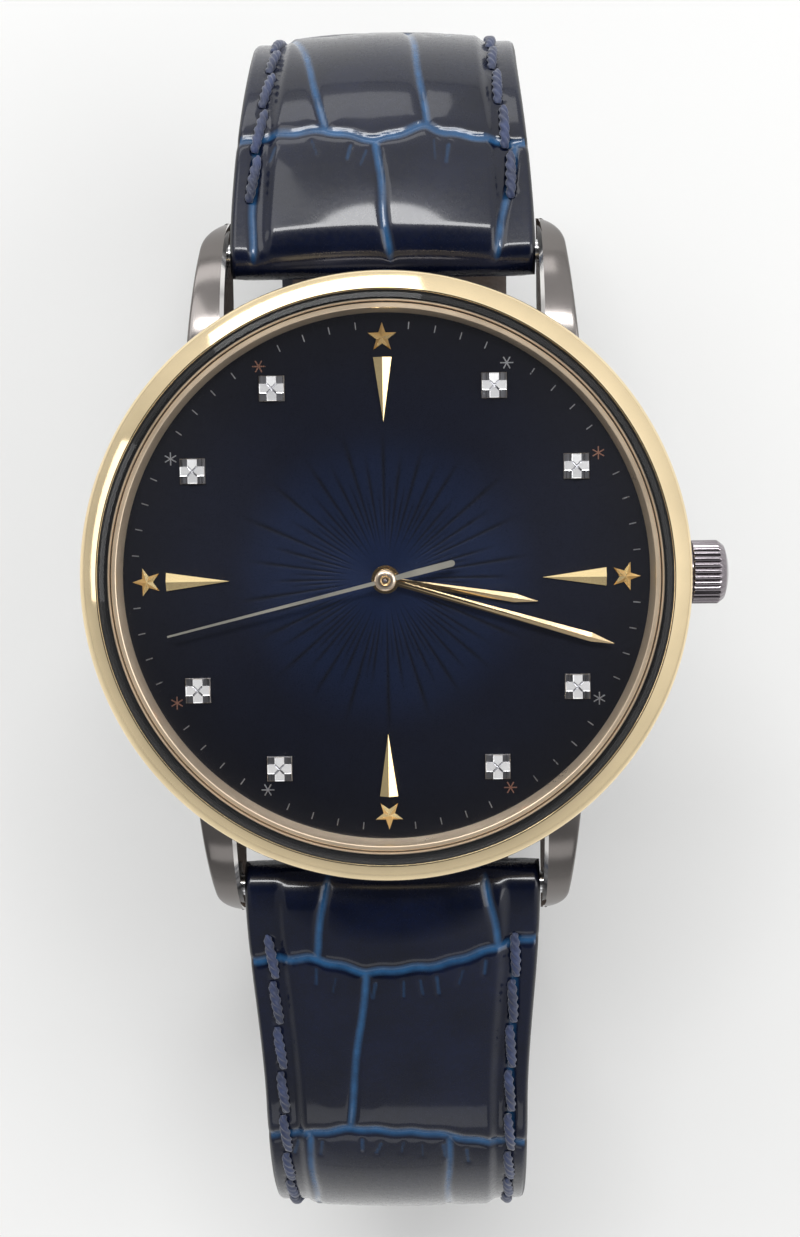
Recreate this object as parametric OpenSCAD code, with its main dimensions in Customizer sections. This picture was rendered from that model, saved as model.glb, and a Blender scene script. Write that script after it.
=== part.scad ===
// Automatic wristwatch on a leather strap, taken down to its separate pieces.
// Millimetres. +Z is the dial's normal, +Y points to 12 o'clock and +X to the crown.
// The origin is on the axis of the hands, in the plane of the case back's outer face.

/* [Case] */
// Outer diameter of the bezel
bezel_d = 38.5; // [37.5:0.5:42]
// Width of the bezel ring seen from the front
bezel_ring_w = 0.95; // [0.7:0.05:1.3]
// How far the bezel stands out past the middle case
bezel_overhang = 0.35; // [0.1:0.05:0.6]
// Height that the bezel's rim holds the crystal's edge by
bezel_grip_h = 0.7; // [0.5:0.05:1]
// Distance from the bezel's edge out to the spring bar
bar_out = 1.55; // [1.4:0.05:2.2]
// Height of the spring bar above the case back
bar_z = 2.5; // [2.3:0.1:3]
// Length of a lug past its spring bar
lug_past_bar = 2.3; // [1.8:0.1:2.8]
// Width between a pair of lugs
lug_gap = 20; // [18:1:22]
// Width of a lug at its root
lug_root_w = 2.45; // [2.2:0.05:2.8]
// Width of a lug where the spring bar enters it
lug_tip_w = 1.75; // [1.65:0.05:2.1]

/* [Case back] */
// Thickness of the case back's flange
back_flange_t = 0.9; // [0.7:0.05:1.3]
// Free width between the rotor and the case back
rotor_clear = 0.6; // [0.4:0.1:1]
// Thickness of the window
back_glass_t = 1.2; // [1:0.05:1.4]
// Count of the wrench notches in the flange
back_notches = 6; // [4:1:8]

/* [Crystal and dial] */
// Thickness of the crystal at its centre
crystal_t = 0.95; // [0.8:0.05:1.3]
// Rise of the crystal's dome over its edge
crystal_rise = 0.85; // [0.6:0.05:1.2]
// Width of the black gasket ring round the crystal
gasket_w = 0.43; // [0.35:0.02:0.55]
// Width of the gold flange between crystal and dial
rehaut_w = 0.98; // [0.8:0.05:1.4]
// Thickness of the dial
dial_t = 0.4; // [0.3:0.05:0.5]

/* [Markers] */
// Distance from the flange in to the middle of a star
star_inset = 1.7; // [1.5:0.05:2]
// Radius of a star's points
star_r = 0.94; // [0.8:0.02:1.1]
// Height of a star
star_h = 0.4; // [0.3:0.05:0.5]
// Distance from the flange in to the base of a wedge
wedge_inset = 2.92; // [2.8:0.05:3.3]
// Length of a wedge
wedge_l = 4.03; // [3.4:0.05:4.6]
// Width of a wedge at its base
wedge_w = 1.16; // [1:0.02:1.4]
// Height of a wedge at its ridge
wedge_h = 0.38; // [0.3:0.02:0.5]
// Distance from the flange in to the middle of a square marker
square_inset = 2.9; // [2.7:0.05:3.2]
// Side of a square marker
square_w = 1.6; // [1.3:0.05:1.8]
// Width of the raised cross on a square marker
square_arm_w = 0.6; // [0.5:0.05:0.7]
// Height of a square marker's plate
square_plate_h = 0.2; // [0.15:0.05:0.3]
// Height of the cross over the plate
square_cross_h = 0.18; // [0.1:0.02:0.25]

/* [Hands] */
// Hours on the dial
show_hour = 3; // [0:1:11]
// Minutes on the dial
show_minute = 17; // [0:1:59]
// Seconds on the dial
show_second = 42.7; // [0:0.1:59.9]
// Length of the hour hand
hour_hand_l = 9.7; // [8.5:0.1:10.5]
// Length of the minute hand
minute_hand_l = 14.95; // [13.5:0.05:15.6]
// Length of the seconds hand
second_hand_l = 14.2; // [13:0.1:15.4]
// Length of the seconds hand's tail
second_tail_l = 4.5; // [3.5:0.1:5.5]
// Greatest width of the hour and minute hands
hand_w = 0.56; // [0.44:0.02:0.7]
// Width of the seconds hand's tail
second_tail_w = 0.4; // [0.3:0.02:0.5]
// Thickness of the hour and minute hands
hand_t = 0.2; // [0.15:0.01:0.25]
// Free height over the dial and between the hands
hand_gap = 0.25; // [0.2:0.01:0.35]

/* [Crown] */
// Diameter of the crown
crown_d = 4.1; // [3.6:0.1:4.6]
// Length of the crown
crown_l = 2.7; // [2.2:0.1:3.2]
// Gap between the middle case and the crown
crown_gap = 0.35; // [0.25:0.05:0.5]
// Count of the flutes round the crown
crown_flutes = 30; // [20:1:32]
// Diameter of the winding stem
stem_d = 0.9; // [0.8:0.05:1]
// Outer diameter of the crown tube
tube_d = 2; // [1.8:0.05:2.2]

/* [Movement] */
// Free width between the balance and the third wheel
balance_play = 0.4; // [0.35:0.05:0.6]
// Free height between the window and the rotor
rotor_gap = 0.55; // [0.4:0.05:0.7]
// Thickness of the rotor's web
rotor_web_t = 0.25; // [0.2:0.05:0.35]
// Height of the rotor's heavy rim
rotor_rim_h = 1; // [0.7:0.05:1]
// Thickness of the automatic bridge
auto_bridge_t = 0.65; // [0.5:0.05:0.8]
// Thickness of the train and balance bridges
bridge_t = 0.35; // [0.3:0.05:0.5]
// Height of the bay between bridge and main plate
bay_h = 2; // [2:0.05:2.3]
// Thickness of the main plate
plate_t = 0.8; // [0.7:0.05:1]
// Height of the bay between main plate and dial
motion_h = 0.7; // [0.66:0.02:0.9]
// Thickness of the train wheels
wheel_t = 0.15; // [0.12:0.01:0.18]
// Distance from the centre to the third and escape wheels
train_a = 4.35; // [4.3:0.01:4.45]
// Distance from the centre to the barrel
barrel_a = 5.4; // [5.3:0.02:5.5]
// Radius of the balance wheel
balance_r = 4; // [3.6:0.1:4.1]
// Count of the balance spring's turns
spring_turns = 5; // [4:1:6]

/* [Strap] */
// Play between the strap and each lug
strap_side_play = 0.2; // [0.15:0.05:0.3]
// Width of the strap at the buckle
strap_end_w = 18; // [16:0.5:18.5]
// Length over which the strap narrows
strap_taper_l = 16; // [14:1:40]
// Length of the half at 12 o'clock, from bar to bar
strap_12_l = 75; // [73:1:78]
// Length of the half at 6 o'clock, from bar to tip
strap_6_l = 118; // [114:1:122]
// Thickness of the strap along its stitched margins
strap_t = 2.2; // [2:0.1:2.4]
// Thickness of the strap where it wraps a spring bar
strap_roll_d = 3.2; // [3:0.1:3.4]
// Rise of the pressed field over the margins
strap_rise = 0.4; // [0.3:0.05:0.5]
// Extra rise of the padding behind the lugs
strap_pad = 0.4; // [0.2:0.1:0.8]
// Thickness of the outer leather
upper_t = 1.05; // [0.9:0.05:1.15]
// Width of the stitched margin
margin_w = 2; // [1.8:0.1:2.4]
// Length of one stitch
stitch_l = 2.3; // [1.8:0.1:2.6]
// Distance from one stitch to the next
stitch_pitch = 3.4; // [3:0.1:4]
// Height of the closed loop, from the spring bars to the inner run
loop_depth = 29.7; // [28:0.5:34]
// Free height between the keepers and the tail below them
run_clear = 1.5; // [1.2:0.1:3]
// Count of the holes in the tail
hole_count = 6; // [5:1:7]
// Diameter of a hole in the tail
hole_d = 1.8; // [1.6:0.1:2]
// Distance from one hole to the next
hole_pitch = 5.5; // [5:0.25:6]

/* [Buckle and keepers] */
// Thickness of the buckle frame
frame_t = 1.6; // [1.3:0.1:1.8]
// Length of the buckle frame past its bar
frame_l = 9.5; // [9:0.25:10.5]
// Width of each side of the buckle frame
frame_side_w = 1.9; // [1.6:0.1:2.2]
// Diameter of a spring bar
bar_d = 1.5; // [1.3:0.05:1.6]
// Diameter of a spring bar's end pins
bar_pin_d = 0.8; // [0.7:0.05:0.9]
// Diameter of the tongue
tongue_d = 1; // [0.8:0.05:1.1]
// Width of a keeper along the strap
keeper_w = 5; // [4.5:0.25:5.5]
// Thickness of a keeper's leather
keeper_t = 0.9; // [0.8:0.05:1.1]
// Distance from the buckle's bar to the fixed keeper
fixed_keeper_s = 8; // [7.5:0.25:9]
// Distance from the buckle's bar to the free keeper at rest
free_keeper_s = 16; // [15.5:0.25:17]

/* [Hidden] */
$fn = 96;

// Clearances: a glued or seated joint, a turning fit, and a loose piece
seat = 0.02;
run = 0.05;
loose = 0.1;
through = 1;

// Radii of the rings round the dial, from the bezel inwards
bezel_r = bezel_d / 2;
case_r = bezel_r - bezel_overhang;
opening_r = bezel_r - bezel_ring_w;
bezel_lip_w = 0.33;
bezel_lip_t = 0.2;
gasket_in_r = opening_r - seat - gasket_w;
crystal_r = gasket_in_r - seat;
dial_open_r = crystal_r - rehaut_w;
dial_rest_w = 0.4;
dial_r = dial_open_r + dial_rest_w;
chamber_r = dial_r + run;
collar_r = opening_r - loose;

// Heights, from the case back's face up to the crystal
rotor_z = back_glass_t + rotor_gap;
auto_z = rotor_z + rotor_web_t + loose;
ratchet_z = max(auto_z + auto_bridge_t, rotor_z + rotor_rim_h) + run;
ratchet_t = 0.2;
bridge_z = ratchet_z + ratchet_t + run;
bay_z = bridge_z + bridge_t;
plate_z = bay_z + bay_h;
plate_top = plate_z + plate_t;
dial_z = plate_top + motion_h;
dial_top = dial_z + dial_t;
hour_z = dial_top + hand_gap;
minute_z = hour_z + hand_t + hand_gap;
second_z = minute_z + hand_t + hand_gap;
second_t = 0.14;
crystal_clear = 0.17;
crystal_z = second_z + second_t + crystal_clear;
case_top = dial_top - 0.3;
collar_top = case_top + 1;
bezel_top = crystal_z + bezel_grip_h;
crystal_edge_top = bezel_top + 0.3;
crystal_top = crystal_edge_top + crystal_rise;
case_z = back_flange_t;
ledge_z = case_z + 1.1;
stem_z = plate_z - 0.6;

// Spring bars, lugs and the holes for the bars
bar_y = bezel_r + bar_out;
lug_x = lug_gap / 2;
lug_end_y = bar_y + lug_past_bar;
lug_low_z = 0.3;
lug_top_z = case_top - 0.1;
lug_hole_l = 1.3;
bar_pin_l = lug_hole_l - 0.1;
bar_r = bar_d / 2;
bar_bore_r = bar_r + 0.08;

// Back window and neck
neck_r = chamber_r - 1.4;
flange_r = chamber_r - 0.1;
back_seal_w = 0.6;
neck_h = 1;

// Crown and stem
crown_r = crown_d / 2;
stem_r = stem_d / 2;
tube_r = tube_d / 2;
crown_x = case_r + crown_gap;
crown_tube_l = crown_gap + 1.3;
stem_in_x = 5.2;

// Train: teeth, modules that follow the centre distances, and places
z_center = 64;
z_third_pinion = 8;
z_third = 60;
z_fourth_pinion = 8;
z_fourth = 80;
z_escape_pinion = 8;
z_barrel = 80;
z_center_pinion = 10;
z_cannon = 12;
z_minute = 36;
z_minute_pinion = 10;
z_hour = 40;
z_escape = 15;
z_ratchet = 56;
z_crown_wheel = 32;
z_winding = 16;
m_center = 2 * train_a / (z_center + z_third_pinion);
m_third = 2 * train_a / (z_third + z_fourth_pinion);
m_fourth = 2 * train_a / (z_fourth + z_escape_pinion);
m_barrel = 2 * barrel_a / (z_barrel + z_center_pinion);
motion_a = 2.6;
m_cannon = 2 * motion_a / (z_cannon + z_minute);
m_hour = 2 * motion_a / (z_minute_pinion + z_hour);
third_ang = 200;
escape_ang = -40;
barrel_ang = 66;
motion_ang = 270;
third_at = train_a * [cos(third_ang), sin(third_ang)];
escape_at = train_a * [cos(escape_ang), sin(escape_ang)];
barrel_at = barrel_a * [cos(barrel_ang), sin(barrel_ang)];
motion_at = motion_a * [cos(motion_ang), sin(motion_ang)];
crown_wheel_at = [8.1, 0];
wall_w = 0.7;
balance_wall_gap = 0.35;
balance_ang = -78;
balance_dir = [cos(balance_ang), sin(balance_ang)];
third_reach = third_at * balance_dir;
balance_to_third = m_third * (z_third / 2 + 0.85) + balance_play + balance_r;
balance_a = third_reach + sqrt(pow(third_reach, 2) - pow(train_a, 2) + pow(balance_to_third, 2));
balance_at = balance_a * balance_dir;
mov_r = balance_a + balance_r + balance_wall_gap + wall_w;
mov_d = 2 * mov_r;
lever_ang = atan2(balance_at[1] - escape_at[1], balance_at[0] - escape_at[0]);
pallet_a = 2.35;
pallet_at = escape_at + pallet_a * [cos(lever_ang), sin(lever_ang)];
fork_l = norm(balance_at - pallet_at) - 0.45;
arbor_r = 0.12;
jewel_r = 0.42;
jewel_t = 0.3;
layer_h = 0.35;
layer = [for (i = [0:3]) bay_z + 0.1 + i * layer_h];
seconds_r = 0.2;
center_tube_r = 0.34;
cannon_r = 0.48;
hour_tube_r = 0.62;
screw_r = 0.22;
screw_head_r = 0.32;
rotor_r = mov_r - 0.4;
window_seat_w = 0.6;
window_r = rotor_r + rotor_clear + window_seat_w;
rotor_rim_w = 2.5;
auto_r = rotor_r - rotor_rim_w - 0.3;
bearing_r = 1.25;

// Strap: widths, section and side view
strap_w = lug_gap - 2 * strap_side_play;
roll_r = strap_roll_d / 2;
buckle_roll_r = 1.3;
lead_12 = 5;
lead_12_drop = 15;
bend_12_r = 13.5;
lead_6 = 15.5;
lead_6_drop = 4;
lead_6_turn = 10;
bend_6_r = 15;
field_t = strap_t + strap_rise;
keeper_low = strap_t / 2 + strap_rise + field_t + 0.4 + keeper_t;
tail_drop = keeper_low + run_clear + strap_t / 2;
rad = 180 / PI;
curl_12_r = loop_depth - lead_12 * sin(lead_12_drop) - bend_12_r * cos(lead_12_drop);
lead_6_r = lead_6 * rad / lead_6_turn;
lead_6_fall = lead_6_r * (cos(lead_6_drop) - cos(lead_6_drop + lead_6_turn));
curl_6_r = loop_depth + tail_drop - lead_6_fall - bend_6_r * cos(lead_6_drop + lead_6_turn);
path_12 = [[lead_12, 0], turn(90 - lead_12_drop, bend_12_r), turn(90, curl_12_r), [strap_12_l, 0]];
path_6 = [[lead_6, -lead_6_turn / lead_6], turn(90 - lead_6_drop - lead_6_turn, bend_6_r),
    turn(90, curl_6_r), [strap_6_l, 0]];
buckle_at = at_12(strap_12_l)[0];
run_12_z = buckle_at[1];
tail_z = at_6(strap_6_l)[0][1];
station_l = 2.6;
stitch_r = 0.15;
tip_l = 9;
tip_w = 3;
last_hole_s = strap_6_l - 20;

// Buckle frame and tongue
frame_in_w = strap_end_w + 0.5;
frame_x = frame_in_w / 2 + frame_side_w;
frame_back = 1.5;
cross_w = 2;
tongue_hub_r = 1.2;
tongue_hub_w = 2.2;
tongue_tilt = atan((frame_t / 2 + tongue_d / 2 + 0.04) / (frame_l - cross_w));

// Small functions
function turn(angle, r) = [angle * r / rad, -rad / r];
function smooth(t) = let (c = min(1, max(0, t))) c * c * (3 - 2 * c);
function mix(a, b, t) = a + (b - a) * t;
function ring_arc(c, r, a0, a1, n) = [for (i = [0:n]) let (a = mix(a0, a1, i / n)) c + r * [cos(a), sin(a)]];
function bezier(a, b, c, n) = [for (i = [0:n]) let (t = i / n) (1 - t) * (1 - t) * a + 2 * t * (1 - t) * b + t * t * c];
// A bow from point a to point b that stands out by rise on its left
function bow(a, b, rise, n) = [for (i = [0:n]) let (t = i / n, d = b - a, side = [-d[1], d[0]] / norm(d))
    a + d * t + side * rise * 4 * t * (1 - t)];

// A path is a list of pieces, each a length and a turn in degrees per millimetre.
// Its first number runs away from the case and its second is the height.
function piece_end(p, a, l, k) = k == 0 ? [p + l * [cos(a), sin(a)], a]
    : [p + rad / k * [sin(a + k * l) - sin(a), cos(a) - cos(a + k * l)], a + k * l];
function along(path, s, p, a, i = 0) = i == len(path) - 1 || s <= path[i][0]
    ? piece_end(p, a, s, path[i][1])
    : let (e = piece_end(p, a, path[i][0], path[i][1])) along(path, s - path[i][0], e[0], e[1], i + 1);
function at_12(s) = along(path_12, s, [bar_y, bar_z], -lead_12_drop);
function at_6(s) = along(path_6, s, [bar_y, bar_z], -lead_6_drop);
function at(half, s) = half == 12 ? at_12(s) : at_6(s);
function half_l(half) = half == 12 ? strap_12_l : strap_6_l;

// Half the width of the strap at a distance s from the lug's bar
function half_w(half, s) = let (w = mix(strap_w, strap_end_w, smooth(s / strap_taper_l)) / 2,
    t = max(0, s - (strap_6_l - tip_l)) / tip_l)
    half == 12 ? w : mix(tip_w / 2, w, sqrt(max(0, 1 - t * t)));
// Thickness along the margins: full at a bar's roll, then even
function margin_t(half, s) = let (a = mix(strap_roll_d, strap_t, smooth(s / 10)))
    half == 12 ? mix(a, 2 * buckle_roll_r, smooth((s - strap_12_l + 4) / 4)) : a;
// Rise of the pressed field and of the padding
function field_rise(half, s) = strap_rise * smooth((s - 1.5) / 3)
    * (half == 12 ? 1 - smooth((s - strap_12_l + 5) / 3) : 1);
function pad_rise(s) = strap_pad * smooth(s / 6) * (1 - smooth((s - 12) / 28));
// Width of the margin and of the slope at its inner edge, narrower where the strap is
function margin(half, s) = min(margin_w, half_w(half, s) * 0.35);
function slope_w(half, s) = min(0.8, half_w(half, s) * 0.15);
function field_u(half, s) = 1 - (margin(half, s) + slope_w(half, s)) / half_w(half, s);
// Places across the strap, as shares of the half width, for one ring of the section
function across(half, s) = let (f = field_u(half, s), m = 1 - margin(half, s) / half_w(half, s))
    [-1, -m, -f, -f / 2, 0, f / 2, f, m, 1];
function top_v(half, s, u) = let (f = field_u(half, s), m = 1 - margin(half, s) / half_w(half, s),
    up = min(1, max(0, (m - abs(u)) / (m - f))), bulge = max(0, 1 - pow(u / f, 2)))
    margin_t(half, s) / 2 + field_rise(half, s) * up + pad_rise(s) * bulge;
function strap_point(half, s, u, v) = let (q = at(half, s), a = q[1])
    [u * half_w(half, s), q[0][0] - v * sin(a), q[0][1] + v * cos(a)];
function stations(a, b) = let (n = ceil((b - a) / station_l)) [for (i = [0:n]) mix(a, b, i / n)];
// Places of the rings along a half, closer together where its tip rounds off
function rings_of(half) = half == 12 ? stations(0, strap_12_l) : concat(stations(0, strap_6_l - tip_l),
    [for (t = [0.3, 0.55, 0.75, 0.88, 0.96, 1]) strap_6_l - tip_l + t * tip_l]);
function rings_between(half, a, b) = [for (s = rings_of(half)) if (s > a && s < b) s];

// Solid through a list of rings, each with as many points as the next. A ring runs along
// its upper side and back along its lower one, so that its ends close like a ladder.
module loft(rings) {
    n = len(rings[0]);
    m = len(rings);
    b = (m - 1) * n;
    sides = [for (i = [0:m - 2], j = [0:n - 1]) let (k = (j + 1) % n)
        each [[i * n + j, (i + 1) * n + k, i * n + k], [i * n + j, (i + 1) * n + j, (i + 1) * n + k]]];
    first = [for (j = [0:n / 2 - 2]) each [[j, j + 1, n - 1 - j], [j + 1, n - 2 - j, n - 1 - j]]];
    last = [for (f = first) [b + f[0], b + f[2], b + f[1]]];
    polyhedron([for (r = rings) each r], concat(sides, first, last));
}

// Toothed disc with its tooth 0 turned to the angle a
module gear(z, m, h, a = 0) {
    p = 360 / z;
    tip = m * (z / 2 + 0.85);
    root = m * (z / 2 - 1.1);
    rotate(a) linear_extrude(h) polygon([for (i = [0:z - 1], q = [[-0.27, root], [-0.1, tip], [0.1, tip], [0.27, root]])
        q[1] * [cos((i + q[0]) * p), sin((i + q[0]) * p)]]);
}

// Wheel with round windows between its arms
module wheel(z, m, h, a, arms = 5) {
    r = m * z / 2;
    difference() {
        gear(z, m, h, a);
        for (i = [0:arms - 1]) rotate(i * 360 / arms + 18) translate([r * 0.58, 0, -through])
            cylinder(r = r * 0.27, h = h + 2 * through, $fn = 48);
    }
}

module ring(r_out, r_in, h) {
    difference() {
        cylinder(r = r_out, h = h);
        translate([0, 0, -through]) cylinder(r = r_in, h = h + 2 * through);
    }
}

// Stands its children at a place of the dial: a radius and an angle clockwise from 12
module on_dial(r, angle) {
    rotate(-angle) translate([0, r, dial_top]) children();
}

// The four lugs and what belongs to each
module each_lug() {
    for (sx = [0, 1], sy = [0, 1]) mirror([sx, 0, 0]) mirror([0, sy, 0]) children();
}

module lug() {
    root_y = neck_r - 2;
    mid_y = bar_y + 0.3;
    top_r = 9.3;
    top_c = [lug_end_y - top_r * cos(asin((lug_low_z - (lug_top_z - top_r)) / top_r)), lug_top_z - top_r];
    plan = concat([[lug_x, root_y], [lug_x + lug_root_w, root_y]],
        bezier([lug_x + lug_tip_w, mid_y], [lug_x + lug_tip_w - 0.1, lug_end_y - 0.7],
            [lug_x + 0.35, lug_end_y], 8), [[lug_x, lug_end_y]]);
    side = concat([[root_y, case_z], [case_r - 2.5, case_z], [case_r - 1, lug_low_z]],
        [[lug_end_y, lug_low_z]], ring_arc(top_c, top_r, asin((lug_low_z - top_c[1]) / top_r), 90, 16),
        [[root_y, lug_top_z]]);
    intersection() {
        linear_extrude(case_top) polygon(plan);
        rotate([90, 0, 90]) linear_extrude(lug_x + 10) polygon(side);
    }
}

module mid_case() color([0.36, 0.35, 0.34]) difference() {
    union() {
        rotate_extrude() polygon(concat([[neck_r - 1, case_z], [flange_r + 0.4, case_z]],
            bow([flange_r + 0.4, case_z], [case_r - 0.1, case_top], -0.75, 14),
            [[collar_r, case_top], [collar_r, collar_top], [neck_r - 1, collar_top]]));
        each_lug() lug();
    }
    translate([0, 0, ledge_z]) cylinder(r = chamber_r, h = collar_top);
    cylinder(r = neck_r + seat, h = ledge_z + through);
    cylinder(r = neck_r + back_seal_w, h = case_z + 0.5);
    each_lug() translate([lug_x - through, bar_y, bar_z]) rotate([0, 90, 0])
        cylinder(r = bar_pin_d / 2 + run, h = lug_hole_l + through, $fn = 32);
    translate([neck_r, 0, stem_z]) rotate([0, 90, 0]) cylinder(r = tube_r + seat, h = case_r);
}

// A ring with a sloping face, whose lip reaches in over the gasket
module bezel() color([0.85, 0.66, 0.42]) {
    lip_r = opening_r - bezel_lip_w;
    edge_r = 0.5;
    edge = ring_arc([bezel_r - edge_r, case_top + 1.3], edge_r, -50, 50, 8);
    slope = bow(edge[8], [lip_r + 0.13, bezel_top - 0.02], -0.02, 4);
    rotate_extrude() polygon(concat([[opening_r, case_top], [case_r - 0.15, case_top]], edge,
        [for (i = [1:4]) slope[i]], [[lip_r + 0.06, bezel_top], [lip_r, bezel_top - 0.06],
        [lip_r, bezel_top - bezel_lip_t], [opening_r, bezel_top - bezel_lip_t]]));
}

module crystal_gasket() color([0.05, 0.05, 0.05]) translate([0, 0, collar_top + run])
    ring(opening_r - seat, gasket_in_r, bezel_top - bezel_lip_t - collar_top - 2 * run);

module crystal() color([0.8, 0.9, 0.95, 0.35]) {
    dome_r = (crystal_r * crystal_r + crystal_rise * crystal_rise) / (2 * crystal_rise);
    dome_a = asin(crystal_r / dome_r);
    in_r = crystal_r - 0.85;
    in_h = crystal_top - crystal_t - crystal_z;
    in_dome_r = (in_r * in_r + in_h * in_h) / (2 * in_h);
    in_a = asin(in_r / in_dome_r);
    rotate_extrude() polygon(concat([[crystal_r, crystal_z], [crystal_r, crystal_edge_top]],
        [for (i = [1:16]) let (a = dome_a * (1 - i / 16)) [dome_r * sin(a), crystal_top - dome_r * (1 - cos(a))]],
        [for (i = [0:16]) let (a = in_a * i / 16)
            [in_dome_r * sin(a), crystal_top - crystal_t - in_dome_r * (1 - cos(a))]]));
}

// Gold flange: a slope up from the dial, a step, a groove and a thin outer rim
module rehaut() color([0.78, 0.6, 0.42]) {
    h = crystal_z - seat - dial_top;
    z0 = dial_top + seat;
    rim_r = crystal_r - 0.1;
    rotate_extrude() polygon([[dial_open_r, z0], [dial_open_r + 0.02, z0 + 0.12],
        [dial_open_r + rehaut_w * 0.38, z0 + h * 0.52], [dial_open_r + rehaut_w * 0.46, z0 + h * 0.54],
        [dial_open_r + rehaut_w * 0.62, z0 + h * 0.8], [dial_open_r + rehaut_w * 0.68, z0 + h * 0.8],
        [dial_open_r + rehaut_w * 0.7, z0 + h * 0.66], [dial_open_r + rehaut_w * 0.78, z0 + h * 0.66],
        [dial_open_r + rehaut_w * 0.8, z0 + h - seat], [rim_r, z0 + h - seat], [rim_r, collar_top + run],
        [dial_r - run, collar_top + run], [dial_r - run, z0]]);
}

module dial() color([0.02, 0.03, 0.09]) translate([0, 0, dial_z]) ring(dial_r, hour_tube_r + 0.15, dial_t);

module star_solid() {
    inner = star_r * 0.4;
    outline = [for (i = [0:9]) (i % 2 == 0 ? star_r : inner) * [sin(i * 36), cos(i * 36)]];
    base = star_h * 0.3;
    pts = concat([for (p = outline) [p[0], p[1], 0]], [for (p = outline) [p[0], p[1], base]], [[0, 0, star_h], [0, 0, 0]]);
    polyhedron(pts, [for (i = [0:9]) let (j = (i + 1) % 10)
        each [[i, j + 10, j], [i, i + 10, j + 10], [i + 10, 20, j + 10], [i, j, 21]]]);
}

module star_markers() color([0.9, 0.7, 0.35])
    for (a = [0:90:270]) on_dial(dial_open_r - star_inset, a) translate([0, 0, seat]) star_solid();

module wedge_solid() {
    w = wedge_w / 2;
    polyhedron([[-w, 0, 0], [w, 0, 0], [0, -wedge_l, 0], [-w, 0, wedge_h * 0.35], [w, 0, wedge_h * 0.35],
        [0, -wedge_l, wedge_h * 0.35], [0, 0, wedge_h]],
        [[0, 1, 2], [0, 3, 4], [0, 4, 1], [3, 6, 4], [0, 2, 5], [0, 5, 3], [1, 4, 5], [1, 5, 2], [3, 5, 6], [4, 6, 5]]);
}

module wedge_markers() color([0.88, 0.78, 0.5])
    for (a = [0:90:270]) on_dial(dial_open_r - wedge_inset, a) translate([0, 0, seat]) wedge_solid();

// Square plate with a ridged cross
module square_solid() {
    translate([-square_w / 2, -square_w / 2, 0]) cube([square_w, square_w, square_plate_h]);
    for (a = [0, 90]) rotate(a) translate([0, square_w / 2, square_plate_h - seat]) rotate([90, 0, 0])
        linear_extrude(square_w) polygon([[-square_arm_w / 2, 0], [square_arm_w / 2, 0],
            [square_arm_w / 2, square_cross_h * 0.3], [0, square_cross_h], [-square_arm_w / 2, square_cross_h * 0.3]]);
}

module square_markers() color([0.85, 0.85, 0.85]) for (h = [1, 2, 4, 5, 7, 8, 10, 11])
    on_dial(dial_open_r - square_inset, h * 30) translate([0, 0, seat]) rotate(h * 30) square_solid();

// Lance hand with a ridge: narrow at its hub, widest near its point
module lance(l, hub_r, bore_r) {
    w0 = hand_w * 0.3;
    w1 = hand_w / 2;
    y1 = l - 1.5;
    low = hand_t * 0.45;
    rings = [for (q = [[hub_r * 0.6, w0, 0.48], [y1, w1, 1], [l, 0.03, 0.48]]) let (x = q[1])
        [[-x, q[0], low], [0, q[0], hand_t * q[2]], [x, q[0], low], [x, q[0], 0], [0, q[0], 0], [-x, q[0], 0]]];
    difference() {
        union() {
            loft(rings);
            cylinder(r = hub_r, h = hand_t);
        }
        translate([0, 0, -through]) cylinder(r = bore_r, h = 3 * through, $fn = 48);
    }
}

minute_angle = 6 * (show_minute + show_second / 60);
hour_angle = 30 * show_hour + minute_angle / 12;

module hour_hand() color([0.88, 0.72, 0.42]) translate([0, 0, hour_z]) rotate(-hour_angle)
    lance(hour_hand_l, 0.9, hour_tube_r + seat);

module minute_hand() color([0.9, 0.75, 0.48]) translate([0, 0, minute_z]) rotate(-minute_angle)
    lance(minute_hand_l, 0.76, cannon_r + seat);

module second_hand() color([0.72, 0.68, 0.58]) translate([0, 0, second_z]) rotate(-6 * show_second) difference() {
    tail_w = second_tail_w / 2;
    union() {
        linear_extrude(second_t) polygon([[-0.12, 0.3], [-0.06, second_hand_l], [0.06, second_hand_l], [0.12, 0.3]]);
        linear_extrude(second_t) polygon([[-0.14, -0.3], [0.14, -0.3], [tail_w, -second_tail_l * 0.45],
            [tail_w, tail_w - second_tail_l], [-tail_w, tail_w - second_tail_l], [-tail_w, -second_tail_l * 0.45]]);
        translate([0, tail_w - second_tail_l, 0]) cylinder(r = tail_w, h = second_t, $fn = 32);
        cylinder(r = 0.67, h = second_t, $fn = 64);
    }
    translate([0, 0, -through]) cylinder(r = seconds_r + seat, h = 3 * through, $fn = 32);
}

// Places its children with their Z along the stem, at the distance x from the centre
module on_stem(x) {
    translate([x, 0, stem_z]) rotate([0, 90, 0]) children();
}

module crown_tube() color([0.6, 0.6, 0.62]) on_stem(chamber_r + loose)
    ring(tube_r, stem_r + loose, crown_x + crown_tube_l - crown_gap - chamber_r - loose);

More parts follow.
